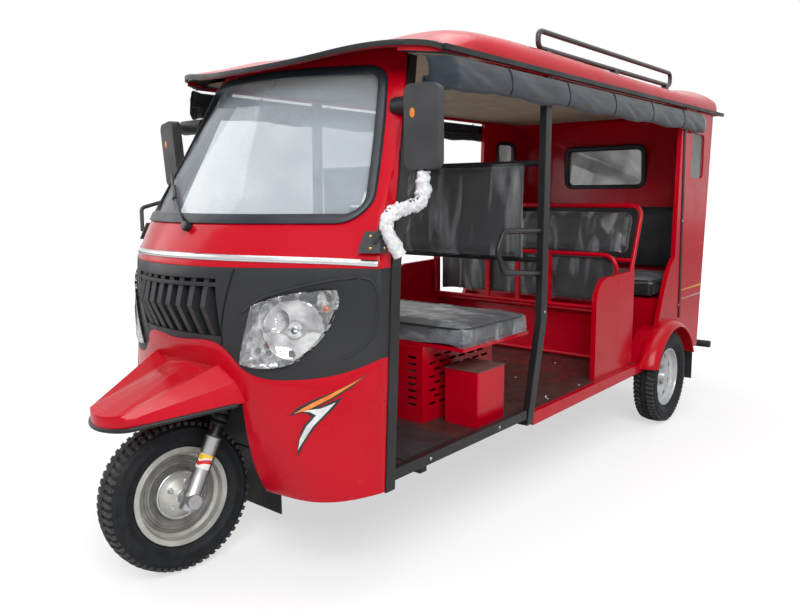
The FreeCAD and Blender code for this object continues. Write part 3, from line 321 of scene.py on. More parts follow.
# Nose: a pressed steel front in glossy red enamel below a matt charcoal band, whose middle holds
# the grille and whose corners hold the headlamps.
red_enamel = finish("red_enamel", (0.44, 0.0, 0.008), (0.54, 0.0, 0.014), 0.5, (0.012, 0.0002),
                    (0.16, 0.3), specular=0.18, coat=0.08)
dress(red_enamel, "nose_lower", "front_cowl", "front_mudguard", "side_panel_left", "side_panel_right",
      "rear_wall", "seat_box", "seat_tray", "side_box", "middle_frame", "middle_seat_frame",
      "rear_seat_box", "roof_shell")
band_paint = finish("matt_charcoal", (0.016, 0.017, 0.019), (0.025, 0.026, 0.029), 0.25,
                    (0.0015, 0.0001), (0.42, 0.6), specular=0.3)
dress(band_paint, "nose_band")
ahead_of_nose = -2.2
one_point = 0.00002


def front_line(stations, subdivide):
    # The (x, z) points along a smooth line through the given stations
    line = []
    for index in range(len(stations) - 1):
        before = Vector(stations[max(index - 1, 0)])
        start = Vector(stations[index])
        end = Vector(stations[index + 1])
        after = Vector(stations[min(index + 2, len(stations) - 1)])
        for step in range(subdivide):
            t = step / subdivide
            bend = (2 * before - 5 * start + 4 * end - after) * t * t
            swing = (3 * start - before - 3 * end + after) * t * t * t
            line.append(0.5 * (2 * start + (end - before) * t + bend + swing))
    line.append(Vector(stations[-1]))
    return line


def edit(piece, kind="VERT", pick=None):
    # Into edit mode, with all of the piece picked or only what passes the test
    only(piece)
    bpy.ops.object.mode_set(mode="EDIT")
    bpy.ops.mesh.select_mode(type=kind)
    if pick:
        bpy.ops.mesh.select_all(action="DESELECT")
        bpy.ops.object.mode_set(mode="OBJECT")
        shape = piece.data
        for part in {"VERT": shape.vertices, "EDGE": shape.edges, "FACE": shape.polygons}[kind]:
            part.select = pick(part)
        bpy.ops.object.mode_set(mode="EDIT")
    else:
        bpy.ops.mesh.select_all(action="SELECT")


def shape_done():
    bpy.ops.object.mode_set(mode="OBJECT")


def face_out(piece):
    edit(piece)
    bpy.ops.mesh.normals_make_consistent(inside=False)
    shape_done()
    return piece


def thicken(piece, thickness, offset):
    wall = piece.modifiers.new("wall", "SOLIDIFY")
    wall.thickness = thickness
    wall.offset = offset
    return apply_all(piece)


def merged_copy(name):
    # A loose copy of one of the construction's own pieces, its triangles joined up
    piece = bpy.data.objects.new(name + "_copy", frame["nodes"][name].data.copy())
    bpy.context.collection.objects.link(piece)
    edit(piece)
    bpy.ops.mesh.remove_doubles(threshold=one_point)
    shape_done()
    return piece


def laid_on(piece, target, lift):
    # The piece is moved back from before the nose until it lies on a panel of the body
    panel = merged_copy(target)
    wrap = piece.modifiers.new("laid", "SHRINKWRAP")
    wrap.target = panel
    wrap.wrap_method = "PROJECT"
    wrap.use_project_y = True
    wrap.use_negative_direction = True
    wrap.use_positive_direction = True
    wrap.offset = lift
    apply_all(piece)
    bpy.data.objects.remove(panel)
    return face_out(piece)


def laid_strip(stations, width, target, lift, thickness):
    # A strip of even width along a line in the front view, laid on a panel of the body
    line = front_line(stations, 12)
    count = len(line) - 1
    bpy.ops.mesh.primitive_grid_add(x_subdivisions=count, y_subdivisions=2, size=1)
    strip = bpy.context.object
    for vertex in strip.data.vertices:
        step = min(count, max(0, round((vertex.co.x + 0.5) * count)))
        ahead = line[min(step + 1, count)] - line[max(step - 1, 0)]
        spot = line[step] + Vector((-ahead.y, ahead.x)).normalized() * width * vertex.co.y
        vertex.co = (spot.x, ahead_of_nose, spot.y)
    thicken(laid_on(strip, target, lift), thickness, 1)
    bpy.ops.object.shade_smooth()
    return strip


def mirrored_copy(piece):
    only(piece)
    bpy.ops.object.duplicate()
    twin = bpy.context.object
    twin.scale = (-1, 1, 1)
    return face_out(baked(twin))


# Dress lines of the nose: the dark joints beside the grille, the raised crease round each corner,
# and the chrome moulding along the belt line.
joint_black = plain("open_joint", (0.006, 0.006, 0.007), 0.7, specular=0.2)
grained(joint_black, 0.002, 0.0001, (0.6, 0.8))
seam = laid_strip([(0.272, 1.036), (0.25, 0.96), (0.222, 0.86), (0.208, 0.79)], 0.006, "nose_band",
                  0.0002, 0.0004)
settle(joined([seam, mirrored_copy(seam)]), "nose_joints", joint_black)
crease = laid_strip([(0.292, 0.9), (0.35, 0.945), (0.428, 0.975), (0.52, 1.0), (0.6, 1.014)], 0.009,
                    "nose_band", 0.0, 0.003)
hollow = laid_strip([(0.61, 1.012), (0.64, 1.0), (0.653, 0.955), (0.65, 0.89), (0.636, 0.83),
                     (0.6, 0.785), (0.566, 0.762)], 0.008, "nose_band", 0.0, 0.0025)
folds = [crease, hollow, mirrored_copy(crease), mirrored_copy(hollow)]
settle(joined(folds), "band_creases", band_paint)
chrome = grained(plain("chrome_moulding", (0.62, 0.63, 0.64), 0.18, metal=1.0), 0.02, 0.0004, (0.12, 0.3))
belt = [(-0.652, 1.054), (-0.5, 1.061), (-0.3, 1.067), (0, 1.071), (0.3, 1.067), (0.5, 1.061),
        (0.652, 1.054)]
moulding = laid_strip(belt, 0.018, "front_cowl", 0.0, 0.004)
settle(moulding, "belt_moulding", chrome)

# Cowl and windscreen: the enamelled screen frame is one pressing with the nose, and laminated
# glass sits in it in a broad soft rubber seal, with one wiper that parks across the glass.
seal_rubber = finish("blue_black_rubber", (0.01, 0.013, 0.017), (0.024, 0.03, 0.039), 0.15,
                     (0.002, 0.0001), (0.3, 0.5), specular=0.35)
dress(seal_rubber, "screen_seal", edge=0.004)


def clouded(paint, pattern, ends, density_range, place):
    # The paint's tinted layer is as clear or as dense as a noise pattern says, between two values
    tree = paint.node_tree
    clouds = node(tree, "TexNoise", pattern, {"Vector": place})[0]
    density = node(tree, "MapRange", {"From Min": ends[0], "From Max": ends[1], "To Min": density_range[0],
                                      "To Max": density_range[1]}, {"Value": clouds})[0]
    tree.links.new(density, tree.nodes["Principled BSDF"].inputs["Alpha"])
    return paint


def glazing(name, tint, density_range, size):
    # Glass under a tinted layer of painted sheen, whose density changes slowly over the pane
    paint = plain(name, tint, 0.04, specular=0.8)
    place = node(paint.node_tree, "TexCoord", {})["Object"]
    pattern = {"Scale": 1 / size, "Detail": 3, "Distortion": 0.6}
    return clouded(paint, pattern, (0.35, 0.68), density_range, place)


# The windscreen's pale blue-grey layer is painted reflection of the sky.
dress(glazing("screen_glass", (0.4, 0.45, 0.5), (0.3, 0.7), 0.55), "screen_glass", edge=0)
dress(glazing("cab_glass", (0.1, 0.125, 0.125), (0.45, 0.85), 0.3), "rear_glass", edge=0)


def rod(start, end, radius, sides=16, edge=0.0):
    # A straight round bar between two points
    start = Vector(start)
    end = Vector(end)
    reach = end - start
    bpy.ops.mesh.primitive_cylinder_add(vertices=sides, radius=radius, depth=reach.length,
                                        location=(start + end) / 2,
                                        rotation=reach.to_track_quat("Z", "Y").to_euler())
    bar = baked(bpy.context.object)
    if edge:
        edit(bar)
        bpy.ops.mesh.bevel(offset=edge, segments=3)
        shape_done()
    bpy.ops.object.shade_smooth_by_angle(angle=math.radians(40))
    return bar


def hose(points, radius, sides=10):
    # A round tube along a smooth line through the given points
    bpy.ops.curve.primitive_nurbs_path_add(location=(0, 0, 0))
    tube = bpy.context.object
    spline = tube.data.splines[0]
    spare = len(points) - len(spline.points)
    if spare > 0:
        spline.points.add(spare)
    for index, point in enumerate(spline.points):
        point.co = (*points[min(index, len(points) - 1)], 1)
    spline.order_u = 3
    spline.use_endpoint_u = True
    tube.data.resolution_u = 6
    tube.data.bevel_depth = radius
    tube.data.bevel_resolution = max(1, sides // 4)
    tube.data.use_fill_caps = True
    bpy.ops.object.convert(target="MESH")
    bpy.ops.object.shade_smooth()
    return bpy.context.object


wiper_paint = finish("wiper_black", (0.009, 0.009, 0.01), (0.02, 0.02, 0.022), 0.02,
                     (0.001, 0.00005), (0.3, 0.45), specular=0.45)
wiper = [rod((0.05, -1.53, 1.155), (0.05, -1.563, 1.166), 0.015, 20, 0.004),
         hose([(0.05, -1.557, 1.164), (0.02, -1.548, 1.182), (-0.05, -1.508, 1.216),
               (-0.12, -1.475, 1.25), (-0.16, -1.447, 1.268)], 0.006),
         hose([(-0.02, -1.522, 1.19), (-0.1, -1.49, 1.226), (-0.2, -1.43, 1.284),
               (-0.3, -1.365, 1.34)], 0.0055),
         hose([(-0.12, -1.476, 1.25), (-0.16, -1.45, 1.272), (-0.2, -1.425, 1.29)], 0.009)]
settle(joined(wiper), "wiper", wiper_paint)

# Dashboard: a moulded grained shelf across the cab behind the screen.
dash_plastic = finish("grained_dash", (0.024, 0.024, 0.026), (0.038, 0.038, 0.042), 0.1,
                      (0.0018, 0.0003), (0.5, 0.68), specular=0.4)
dress(dash_plastic, "dashboard", edge=0.006)

# Headlamps: clear moulded lenses over a chromed housing with a large bowl, a small one beside
# it, an amber bulb in the outer corner, and a row of small dots under the bowl.
lamp_chrome = finish("lamp_chrome", (0.05, 0.05, 0.055), (0.62, 0.63, 0.64), 0.022,
                     (0.02, 0.002), (0.06, 0.2), metal=1.0)
lamp_clear = plain("clear_lens", (0.9, 0.92, 0.94), 0.05, specular=0.9)
tree = lamp_clear.node_tree
place = node(tree, "TexCoord", {})["Object"]
smears = node(tree, "TexNoise", {"Scale": 30, "Detail": 4}, {"Vector": place})[0]
# The lens's near-white layer thickens towards grazing angles as painted reflection, with faint smears in it.
grazing = node(tree, "LayerWeight", {"Blend": 0.35})["Facing"]
smears_and_reflection = node(tree, "Math", {1: 0.12}, {0: smears, 2: grazing}, "MULTIPLY_ADD")[0]
density = node(tree, "MapRange", {"To Min": 0.03, "To Max": 0.5}, {"Value": smears_and_reflection})[0]
tree.links.new(density, tree.nodes["Principled BSDF"].inputs["Alpha"])
grained(lamp_clear, 0.004, 0.0002)


def drawn_line(points):
    # A new mesh with one line of edges through the points, left in edit mode, all picked
    bpy.ops.mesh.primitive_plane_add(size=0.001, location=(0, 0, 0))
    piece = bpy.context.object
    edit(piece)
    bpy.ops.mesh.merge(type="CENTER")
    bpy.ops.transform.translate(value=points[0])
    for before, after in zip(points, points[1:]):
        step = Vector(after) - Vector(before)
        bpy.ops.mesh.extrude_region_move(TRANSFORM_OT_translate={"value": step})
    bpy.ops.mesh.select_all(action="SELECT")
    return piece


def swept(piece, reach):
    # The picked line is drawn out to a wall
    bpy.ops.mesh.extrude_region_move(TRANSFORM_OT_translate={"value": reach})
    shape_done()
    return piece


def facing_turn(axis):
    return Vector(axis).to_track_quat("Z", "Y").to_matrix().to_4x4()


def lathe(profile, centre=(0, 0, 0), axis=(0, 0, 1), steps=48):
    # A turned piece: the (along, radius) profile goes once round the axis
    piece = drawn_line([(radius, 0, along) for along, radius in profile])
    bpy.ops.mesh.spin(steps=steps, angle=math.tau, center=(0, 0, 0), axis=(0, 0, 1))
    bpy.ops.mesh.select_all(action="SELECT")
    bpy.ops.mesh.remove_doubles(threshold=one_point)
    bpy.ops.mesh.normals_make_consistent(inside=False)
    shape_done()
    piece.matrix_world = Matrix.Translation(Vector(centre)) @ facing_turn(axis)
    baked(piece)
    bpy.ops.object.shade_smooth_by_angle(angle=math.radians(35))
    return piece


def sided(side, vector):
    # The same place or direction on the vehicle's left (1) or right (-1)
    return Vector((side * vector[0], vector[1], vector[2]))


lamp_facing = Vector((0.61, -0.79, 0.05)).normalized()
lamp_back = merged_copy("headlamps")
edit(lamp_back, "FACE", lambda face: face.normal.dot(
    sided(math.copysign(1, face.center.x), lamp_facing)) > 0.6)
bpy.ops.mesh.separate(type="SELECTED")
shape_done()
lamp_front = [item for item in bpy.context.selected_objects if item is not lamp_back][0]
for shell, name, wall, paint in ((lamp_front, "headlamp_lenses", 0.0015, lamp_clear),
                                 (lamp_back, "headlamp_housings", 0.002, lamp_chrome)):
    thicken(shell, wall, -1)
    bpy.ops.object.shade_smooth_by_angle(angle=math.radians(30))
    settle(shell, name, paint)
    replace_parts(shell, "headlamps")
bowl_profile = [(0.0, 0.12), (-0.8, 0.14), (-0.95, 0.3), (-0.75, 0.6), (-0.3, 0.9), (0.0, 1.0),
                (0.15, 1.05), (0.0, 1.1)]
dot_profile = [(-0.003, 0.001), (-0.001, 0.006), (0.001, 0.0075), (0.0015, 0.009), (0.0, 0.01)]
bulb_profile = [(0.006, 0.001), (0.005, 0.006), (0.001, 0.01), (-0.008, 0.011), (-0.012, 0.011)]
dot_places = ((0.341, -1.511, 0.783), (0.373, -1.496, 0.776), (0.406, -1.479, 0.775),
              (0.438, -1.461, 0.779))
bowls = []
dots = []
bulbs = []
for side in (-1, 1):
    toward = sided(side, lamp_facing)
    for centre, radius, depth in (((0.44, -1.448, 0.848), 0.088, 0.02),
                                  ((0.392, -1.478, 0.877), 0.034, 0.012)):
        profile = [(depth * along, radius * out) for along, out in bowl_profile]
        bowls.append(lathe(profile, sided(side, centre), toward, 40))
    for place in dot_places:
        dots.append(lathe(dot_profile, sided(side, place) - toward * 0.004, toward, 20))
    bulb_facing = Vector((side * 0.66, -0.75, 0.0)).normalized()
    bulbs.append(lathe(bulb_profile, (side * 0.528, -1.394, 0.916), bulb_facing, 24))
bowl_chrome = finish("bowl_chrome", (0.3, 0.3, 0.31), (0.9, 0.9, 0.9), 0.06, (0.05, 0.002),
                     (0.05, 0.14), metal=1.0)
settle(joined(bowls), "headlamp_bowls", bowl_chrome)
dot_black = grained(plain("lamp_dots", (0.02, 0.02, 0.022), 0.3), 0.002, 0.0001, (0.25, 0.4))
settle(joined(dots), "headlamp_dots", dot_black)
amber = finish("amber_bulb", (0.3, 0.03, 0.005), (0.7, 0.16, 0.02), 0.01, (0.003, 0.0002),
               (0.12, 0.3), specular=0.6)
settle(joined(bulbs), "headlamp_bulbs", amber)

# Front mudguard: a pressed red hood fixed to the nose over the wheel, with a thick black rubber
# edging pressed on round its lower edge and a flange that closes it against the nose.
edge_rubber = finish("edging_rubber", (0.007, 0.007, 0.008), (0.016, 0.016, 0.017), 0.03,
                     (0.0015, 0.0001), (0.35, 0.55), specular=0.3)
hood_front = -1.8405
hood_length = 0.31
low_line = []
for y in (-1.535, -1.6, -1.67, -1.74, -1.8, -1.826):
    share = (y - hood_front) / hood_length
    low_line.append((0.104 + 0.159 * share, y, 0.558 + 0.042 * share))
low_line.extend([(0.079, -1.8465, 0.556), (0.042, -1.8625, 0.555), (0, -1.8685, 0.554)])
mirrored_line = [(-x, y, z) for x, y, z in reversed(low_line[:-1])]
settle(hose(low_line + mirrored_line, 0.0075, 12), "mudguard_edging", edge_rubber)
flange_foot = 0.676
flange_rise = 0.05
flange_sink = 0.004
flange_line = []
for x in (-0.17, -0.13, -0.09, -0.05, 0, 0.05, 0.09, 0.13, 0.17):
    eye = Vector((x, ahead_of_nose, 0.722))
    found, spot = frame["nodes"]["nose_lower"].ray_cast(eye, Vector((0, 1, 0)))[:2]
    flange_line.append((x, spot.y + flange_sink if found else -1.54, flange_foot))
flange = face_out(swept(drawn_line(flange_line), (0, 0, flange_rise)))
settle(thicken(flange, 0.003, 0), "mudguard_flange", red_enamel)

# Decals of the nose: on each side a plain hooked flash, its upper streak orange with a black
# edge and its lower hook silver with a black edge.
film_grain = (0.004, 0.00005)
film_gloss = (0.25, 0.4)
film_thickness = 0.0003
flash_orange = finish("orange_film", (0.72, 0.13, 0.01), (0.9, 0.32, 0.05), 0.05, film_grain,
                      film_gloss)
flash_black = finish("black_film", (0.009, 0.008, 0.009), (0.02, 0.018, 0.019), 0.05, film_grain,
                     film_gloss)
flash_silver = finish("silver_film", (0.55, 0.56, 0.57), (0.8, 0.81, 0.82), 0.04, film_grain,
                      film_gloss, metal=0.2)


def laid_patch(outline, target, lift):
    # A thin film cut to an (x, z) outline and laid on the nose, and its twin on the other side
    patch = drawn_line([(x, ahead_of_nose, z) for x, z in outline])
    bpy.ops.mesh.edge_face_add()
    bpy.ops.mesh.select_all(action="SELECT")
    bpy.ops.mesh.quads_convert_to_tris(quad_method="BEAUTY", ngon_method="BEAUTY")
    for level in range(4):
        bpy.ops.mesh.subdivide(number_cuts=1)
    bpy.ops.mesh.tris_convert_to_quads()
    shape_done()
    laid_on(patch, target, lift)
    if sum(face.normal.y for face in patch.data.polygons) > 0:
        patch.data.flip_normals()
    thicken(patch, film_thickness, 1)
    bpy.ops.object.shade_smooth()
    return joined([patch, mirrored_copy(patch)])


streak_edge = [(0.424, 0.579), (0.48, 0.597), (0.54, 0.632), (0.59, 0.672), (0.636, 0.724),
               (0.6, 0.694), (0.55, 0.662), (0.49, 0.632), (0.45, 0.606)]
streak = [(0.44, 0.588), (0.484, 0.603), (0.54, 0.639), (0.586, 0.676), (0.622, 0.709),
          (0.592, 0.687), (0.545, 0.656), (0.49, 0.622)]
hook_edge = [(0.45, 0.6), (0.52, 0.617), (0.576, 0.648), (0.55, 0.606), (0.51, 0.556), (0.478, 0.505),
             (0.446, 0.446), (0.452, 0.5), (0.47, 0.55), (0.494, 0.583), (0.478, 0.592)]
hook = [(0.462, 0.598), (0.52, 0.61), (0.558, 0.63), (0.537, 0.6), (0.5, 0.553), (0.47, 0.502),
        (0.45, 0.47), (0.459, 0.508), (0.48, 0.552), (0.508, 0.588), (0.49, 0.597)]
for name, outline, lift, paint in (("flash_streak_edge", streak_edge, 0.0003, flash_black),
                                   ("flash_streak", streak, 0.0006, flash_orange),
                                   ("flash_hook_edge", hook_edge, 0.0003, flash_black),
                                   ("flash_hook", hook, 0.0006, flash_silver)):
    settle(laid_patch(outline, "nose_lower", lift), name, paint)

# Roof: a moulded shell in the body's red with a visor lip in front, gutters down its sides, a beige lining
# under it and a tubular luggage rail on top. The dark under the visor lip is painted shade, laid on further
# down.
gutter_plastic = finish("gutter_black", (0.009, 0.009, 0.01), (0.02, 0.02, 0.022), 0.2,
                        (0.003, 0.0002), (0.35, 0.55), specular=0.3)
dress(gutter_plastic, "drip_rails", edge=0.002)
lining = finish("beige_lining", (0.31, 0.25, 0.18), (0.4, 0.33, 0.24), 0.08, (0.0015, 0.0004),
                (0.8, 0.95), specular=0.2)
dress(lining, "headliner")
rack_paint = finish("rack_black", (0.018, 0.015, 0.015), (0.04, 0.03, 0.03), 0.1, (0.004, 0.0001),
                    (0.25, 0.42))
dress(rack_paint, "roof_rack", edge=0)

# Door posts, sills, backrest bars and the trims of the rear doorway: folded steel in satin black
# and moulded black covers, held by screws.
post_paint = finish("satin_black_posts", (0.007, 0.007, 0.008), (0.015, 0.015, 0.017), 0.2,
                    (0.006, 0.0002), (0.28, 0.46), specular=0.35)
dress(post_paint, "front_posts", "middle_posts", "sills", "back_frame", edge=0.002)
trim_plastic = finish("grained_black_trim", (0.011, 0.011, 0.012), (0.021, 0.021, 0.023), 0.12,
                      (0.0018, 0.0003), (0.42, 0.62), specular=0.3)
dress(trim_plastic, "quarter_trims", "post_lamps", "plate_bracket", "handlebar")
mirror_plastic = finish("grey_mirror_shell", (0.028, 0.029, 0.031), (0.046, 0.047, 0.051), 0.1,
                        (0.0018, 0.0003), (0.45, 0.62), specular=0.35)
dress(mirror_plastic, "mirrors", edge=0.006)
post_screw_radius = 0.0065
post_places = ((0.6655, 1.272, 0.62), (0.6655, 1.272, 1.1), (0.6655, 1.272, 1.6), (0.6655, -0.268, 0.42),
               (0.6655, -0.29, 0.78), (0.663, -0.62, 0.376), (0.663, -1.05, 0.376))
post_screws = []
for side in (-1, 1):
    places = [sided(side, place) for place in post_places]
    post_screws.append(screw_heads(places, (side, 0, 0), post_screw_radius))
settle(joined(post_screws), "post_screws", steel)

# Side and rear panels: enamelled steel, and on each rear quarter two thin stripes, a yellow one
# over a grey dotted one, that narrow towards the front.
stripe_yellow = finish("yellow_film", (0.65, 0.34, 0.03), (0.82, 0.5, 0.06), 0.03, film_grain,
                       film_gloss)
stripe_grey = finish("grey_film", (0.2, 0.2, 0.21), (0.6, 0.6, 0.61), 0.004, film_grain, film_gloss)
stripe_middle = 1.48
stripe_length = 0.33
stripe_front = stripe_middle - stripe_length / 2
for name, height, width, paint in (("quarter_stripe_upper", 0.704, 0.011, stripe_yellow),
                                   ("quarter_stripe_lower", 0.652, 0.009, stripe_grey)):
    band = []
    for side in (-1, 1):
        stripe = block((side * 0.6601, stripe_middle, height), (0.0006, stripe_length, width))
        edit(stripe, "FACE", lambda face: face.normal.y < -0.9)
        bpy.ops.transform.resize(value=(1, 1, 0.3), center_override=(0, stripe_front, height - 0.003))
        shape_done()
        band.append(stripe)
    settle(joined(band), name, paint)


# Window frames: soft black rubber sections pressed on round the cutouts of the rear wall and of
# the rear quarters, with rounded corners.
def frame_ring(outline, place, across, upwards, width, proud):
    # A rubber section that follows a rounded outline in the plane across x upwards
    points = []
    half_long, half_high, corner = outline
    for index, (sx, sz) in enumerate(((1, 1), (-1, 1), (-1, -1), (1, -1))):
        for step in range(7):
            swing = math.radians(90 * index + 15 * step)
            along = sx * (half_long - corner) + corner * math.cos(swing)
            rise = sz * (half_high - corner) + corner * math.sin(swing)
            points.append(Vector(place) + Vector(across) * along + Vector(upwards) * rise)
    points.append(points[0])
    bpy.ops.curve.primitive_nurbs_path_add(location=(0, 0, 0))
    ring = bpy.context.object
    ring.data.splines.clear()
    spline = ring.data.splines.new("POLY")
    spline.points.add(len(points) - 2)
    for point, where in zip(spline.points, points):
        point.co = (*where, 1)
    spline.use_cyclic_u = True
    ring.data.bevel_depth = width / 2
    ring.data.bevel_resolution = 3
    bpy.ops.object.convert(target="MESH")
    outward = Vector(across).cross(Vector(upwards)).normalized()
    for vertex in ring.data.vertices:
        off = (vertex.co - Vector(place)).dot(outward)
        vertex.co -= outward * off * (1 - 2 * proud / width)
    bpy.ops.object.shade_smooth()
    return ring


wall_lean = Vector((0, -0.0745, 1)).normalized()
rings = [frame_ring((0.268, 0.126, 0.045), (0, 1.675, 1.42), (1, 0, 0), wall_lean, 0.034, 0.012)]
for side in (-1, 1):
    centre = (side * 0.634, 1.49, 1.465)
    rings.append(frame_ring((0.112, 0.132, 0.036), centre, (0, 1, 0), (0, 0, 1), 0.026, 0.01))
settle(joined(rings), "window_seals", seal_rubber)

# Engine: a plain cast unit under the driver's cover, seen only through the cover's slots.
engine_metal = finish("cast_alloy", (0.16, 0.16, 0.17), (0.38, 0.38, 0.39), 0.03, (0.003, 0.0005),
                      (0.4, 0.65), metal=0.7)
dress(engine_metal, "engine_block", edge=0.008)

# Tool box: its lid is a folded cap in a brown grey finish.
lid_paint = finish("tool_box_lid", (0.09, 0.055, 0.052), (0.16, 0.1, 0.095), 0.04, (0.004, 0.0002),
                   (0.3, 0.5))
lid_thickness = 0.003
lid_overhang = 0.005
box_low, box_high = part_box("side_box")
middle = (box_low + box_high) / 2
lid = block((middle.x, middle.y, box_high.z + lid_thickness / 2),
            (box_high.x - box_low.x + lid_overhang, box_high.y - box_low.y + lid_overhang, lid_thickness))
edit(lid, "FACE", lambda face: face.normal.z < -0.9)
bpy.ops.mesh.inset(thickness=0.0022)
shape_done()
rounded(lid, 0.001, 2)
settle(apply_all(lid), "tool_box_lid", lid_paint)

# Seats: foam pads under charcoal leatherette with welted edges, each on a board or a tube frame.
vinyl = finish("charcoal_leatherette", (0.011, 0.012, 0.013), (0.024, 0.025, 0.028), 0.09,
               (0.0022, 0.0005), (0.34, 0.55), specular=0.35)
vinyl.node_tree.nodes["Principled BSDF"].inputs["Sheen Weight"].default_value = 0.15
foam_steps = 16
pad_room = 0.006
pad_inset = 0.004
pad_inset_share = 0.06
pad_inset_most = 0.1
foam_pressure = 4
foam_stiffness = 15


def pad(source, body, voxel, cap, resting, facing):
    # The construction's pad, drawn in a little, blown up as foam under its cover, and kept
    # within its cap and flat on the side where it rests
    low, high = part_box(source)
    piece = merged_copy(source)
    middle = (low + high) / 2
    size = high - low
    for vertex in piece.data.vertices:
        for axis in range(3):
            inset = min(pad_inset + pad_inset_share * min(size), pad_inset_most * size[axis])
            share = (size[axis] - 2 * inset) / size[axis]
            vertex.co[axis] = middle[axis] + (vertex.co[axis] - middle[axis]) * share
    mesh = piece.modifiers.new("mesh", "REMESH")
    mesh.mode = "VOXEL"
    mesh.voxel_size = voxel
    apply_all(piece)
    flat = [vertex.co.copy() for vertex in piece.data.vertices]
    scene = bpy.context.scene
    cloth = piece.modifiers.new("foam", "CLOTH")
    cloth.settings.quality = 4
    cloth.settings.use_pressure = True
    cloth.settings.uniform_pressure_force = foam_pressure
    cloth.settings.tension_stiffness = foam_stiffness
    cloth.settings.compression_stiffness = foam_stiffness
    cloth.settings.effector_weights.gravity = 0
    cloth.collision_settings.use_collision = False
    cloth.collision_settings.use_self_collision = False
    cloth.point_cache.frame_end = foam_steps
    for step in range(1, foam_steps + 1):
        scene.frame_set(step)
    apply_all(piece)
    scene.frame_set(1)
    lean = Vector(facing).normalized()
    for vertex, start in zip(piece.data.vertices, flat):
        move = vertex.co - start
        if move.length > cap:
            move.length = cap
        spot = start + move
        for axis in range(3):
            spot[axis] = min(high[axis] + pad_room, max(low[axis] - pad_room, spot[axis]))
        if resting:
            depth = (spot - start).dot(lean)
            if depth < 0:
                spot -= lean * depth
        vertex.co = spot
    soften(piece, 3)
    finer = piece.modifiers.new("finer", "SUBSURF")
    finer.levels = 1
    finer.render_levels = 1
    apply_all(piece)
    bpy.ops.object.shade_smooth()
    settle(piece, source + "_pad", vinyl, body)
    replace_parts(piece, source)


def soften(piece, rounds):
    soft = piece.modifiers.new("soft", "SMOOTH")
    soft.factor = 0.5
    soft.iterations = rounds


pad("driver_cushion", "vehicle", 0.011, 0.012, True, (0, 0, 1))
pad("driver_back", "vehicle", 0.009, 0.010, True, (0, -1, 0))
pad("middle_back", "vehicle", 0.011, 0.012, False, (0, -0.94, 0.34))
pad("middle_cushion", "middle_seat", 0.011, 0.012, True, (0, 1, 0))
pad("rear_cushion", "vehicle", 0.014, 0.016, True, (0, 0, 1))
pad("rear_back", "vehicle", 0.012, 0.014, True, (0, -1, 0.07))


# Protective film of the seats: clear sheet that was laid over the covers and never taken off. It
# lies on the pads in loose creases and folds over their edges.
def film_sheet(name, tint, density_range, turn, stretch):
    # Clear film whose haze runs in long streaks along its folds
    paint = plain(name, tint, 0.16, specular=0.9)
    tree = paint.node_tree
    place = node(tree, "TexCoord", {})["Object"]
    along = node(tree, "Mapping", {"Rotation": turn, "Scale": stretch}, {"Vector": place})[0]
    clouded(paint, {"Scale": 1, "Detail": 5, "Distortion": 0.8}, (0.48, 0.78), density_range, along)
    return grained(paint, 0.03, 0.003)


film_upright = film_sheet("upright_film", (0.5, 0.52, 0.55), (0.05, 0.6), (0, -0.55, 0), (14, 14, 2.4))
film_flat = film_sheet("flat_film", (0.36, 0.38, 0.41), (0.25, 0.85), (0.3, 0.2, 0.6), (5, 14, 10))
film_mesh = 0.006
film_gap = 0.0018
film_bend = 0.012
film_ragged = 0.012
film_eye = 0.3


def creases(spot, pitch, lean):
    # Sharp ridges that run aslant and fade in and out, from 0 to 1
    across = Vector((spot.x + lean * spot.y, spot.y - lean * spot.x + lean * spot.z, spot.z))
    ridge = 1 - abs(noise.noise(Vector((across.x * 0.5, across.y, across.z)) / pitch))
    patch = 0.5 + 0.5 * noise.noise(spot / (pitch * 2.5) + Vector((7, 3, 1)))
    fine = 1 - abs(noise.noise(across / (pitch * 0.35) + Vector((2, 9, 4))))
    return max(0, ridge) ** 4 * patch + 0.35 * fine ** 5 * patch


def clear_film(name, target, body, centre, size, facing, pitch, height, lean, paint):
    # A rectangle of film, facing outwards, laid on one side of a pad and over its edges
    steps = [max(8, round(side / film_mesh)) for side in size]
    bpy.ops.mesh.primitive_grid_add(x_subdivisions=steps[0], y_subdivisions=steps[1], size=1)
    film = bpy.context.object
    facing = Vector(facing).normalized()
    seen = Vector((1, 0, 0))
    other = facing.cross(seen)
    turn = Matrix((seen, other, facing)).transposed().to_4x4()
    film.matrix_world = Matrix.Translation(Vector(centre)) @ turn @ Matrix.Diagonal((*size, 1, 1))
    baked(film)
    pad_piece = bpy.data.objects[target]
    reach = []
    for way in (seen, other):
        values = [vertex.co.dot(way) for vertex in pad_piece.data.vertices]
        reach.append((min(values) - 0.001, max(values) + 0.001))
    for vertex in film.data.vertices:
        ragged = film_ragged * noise.noise(vertex.co * 6 + Vector((5, 5, 5)))
        start = vertex.co + (seen + other) * ragged
        off = film_gap + height * creases(start, pitch, lean)
        inside = start.copy()
        drop = 0
        outward = Vector((0, 0, 0))
        for way, (least, most) in zip((seen, other), reach):
            place = start.dot(way)
            held = min(most, max(least, place))
            drop = max(drop, abs(place - held))
            outward += way * (place - held)
            inside += way * (min(most - film_bend, max(least + film_bend, place)) - place)
            start += way * (held - place)
        found, spot = pad_piece.ray_cast(inside + facing * film_eye, -facing)[:2]
        depth = (spot - start).dot(facing) if found else 0
        side_step = outward.normalized() * off if drop > 0 else facing * off
        vertex.co = start + facing * (depth - drop) + side_step
    soften(film, 2)
    apply_all(film)
    bpy.ops.object.shade_smooth()
    settle(film, name, paint, body)


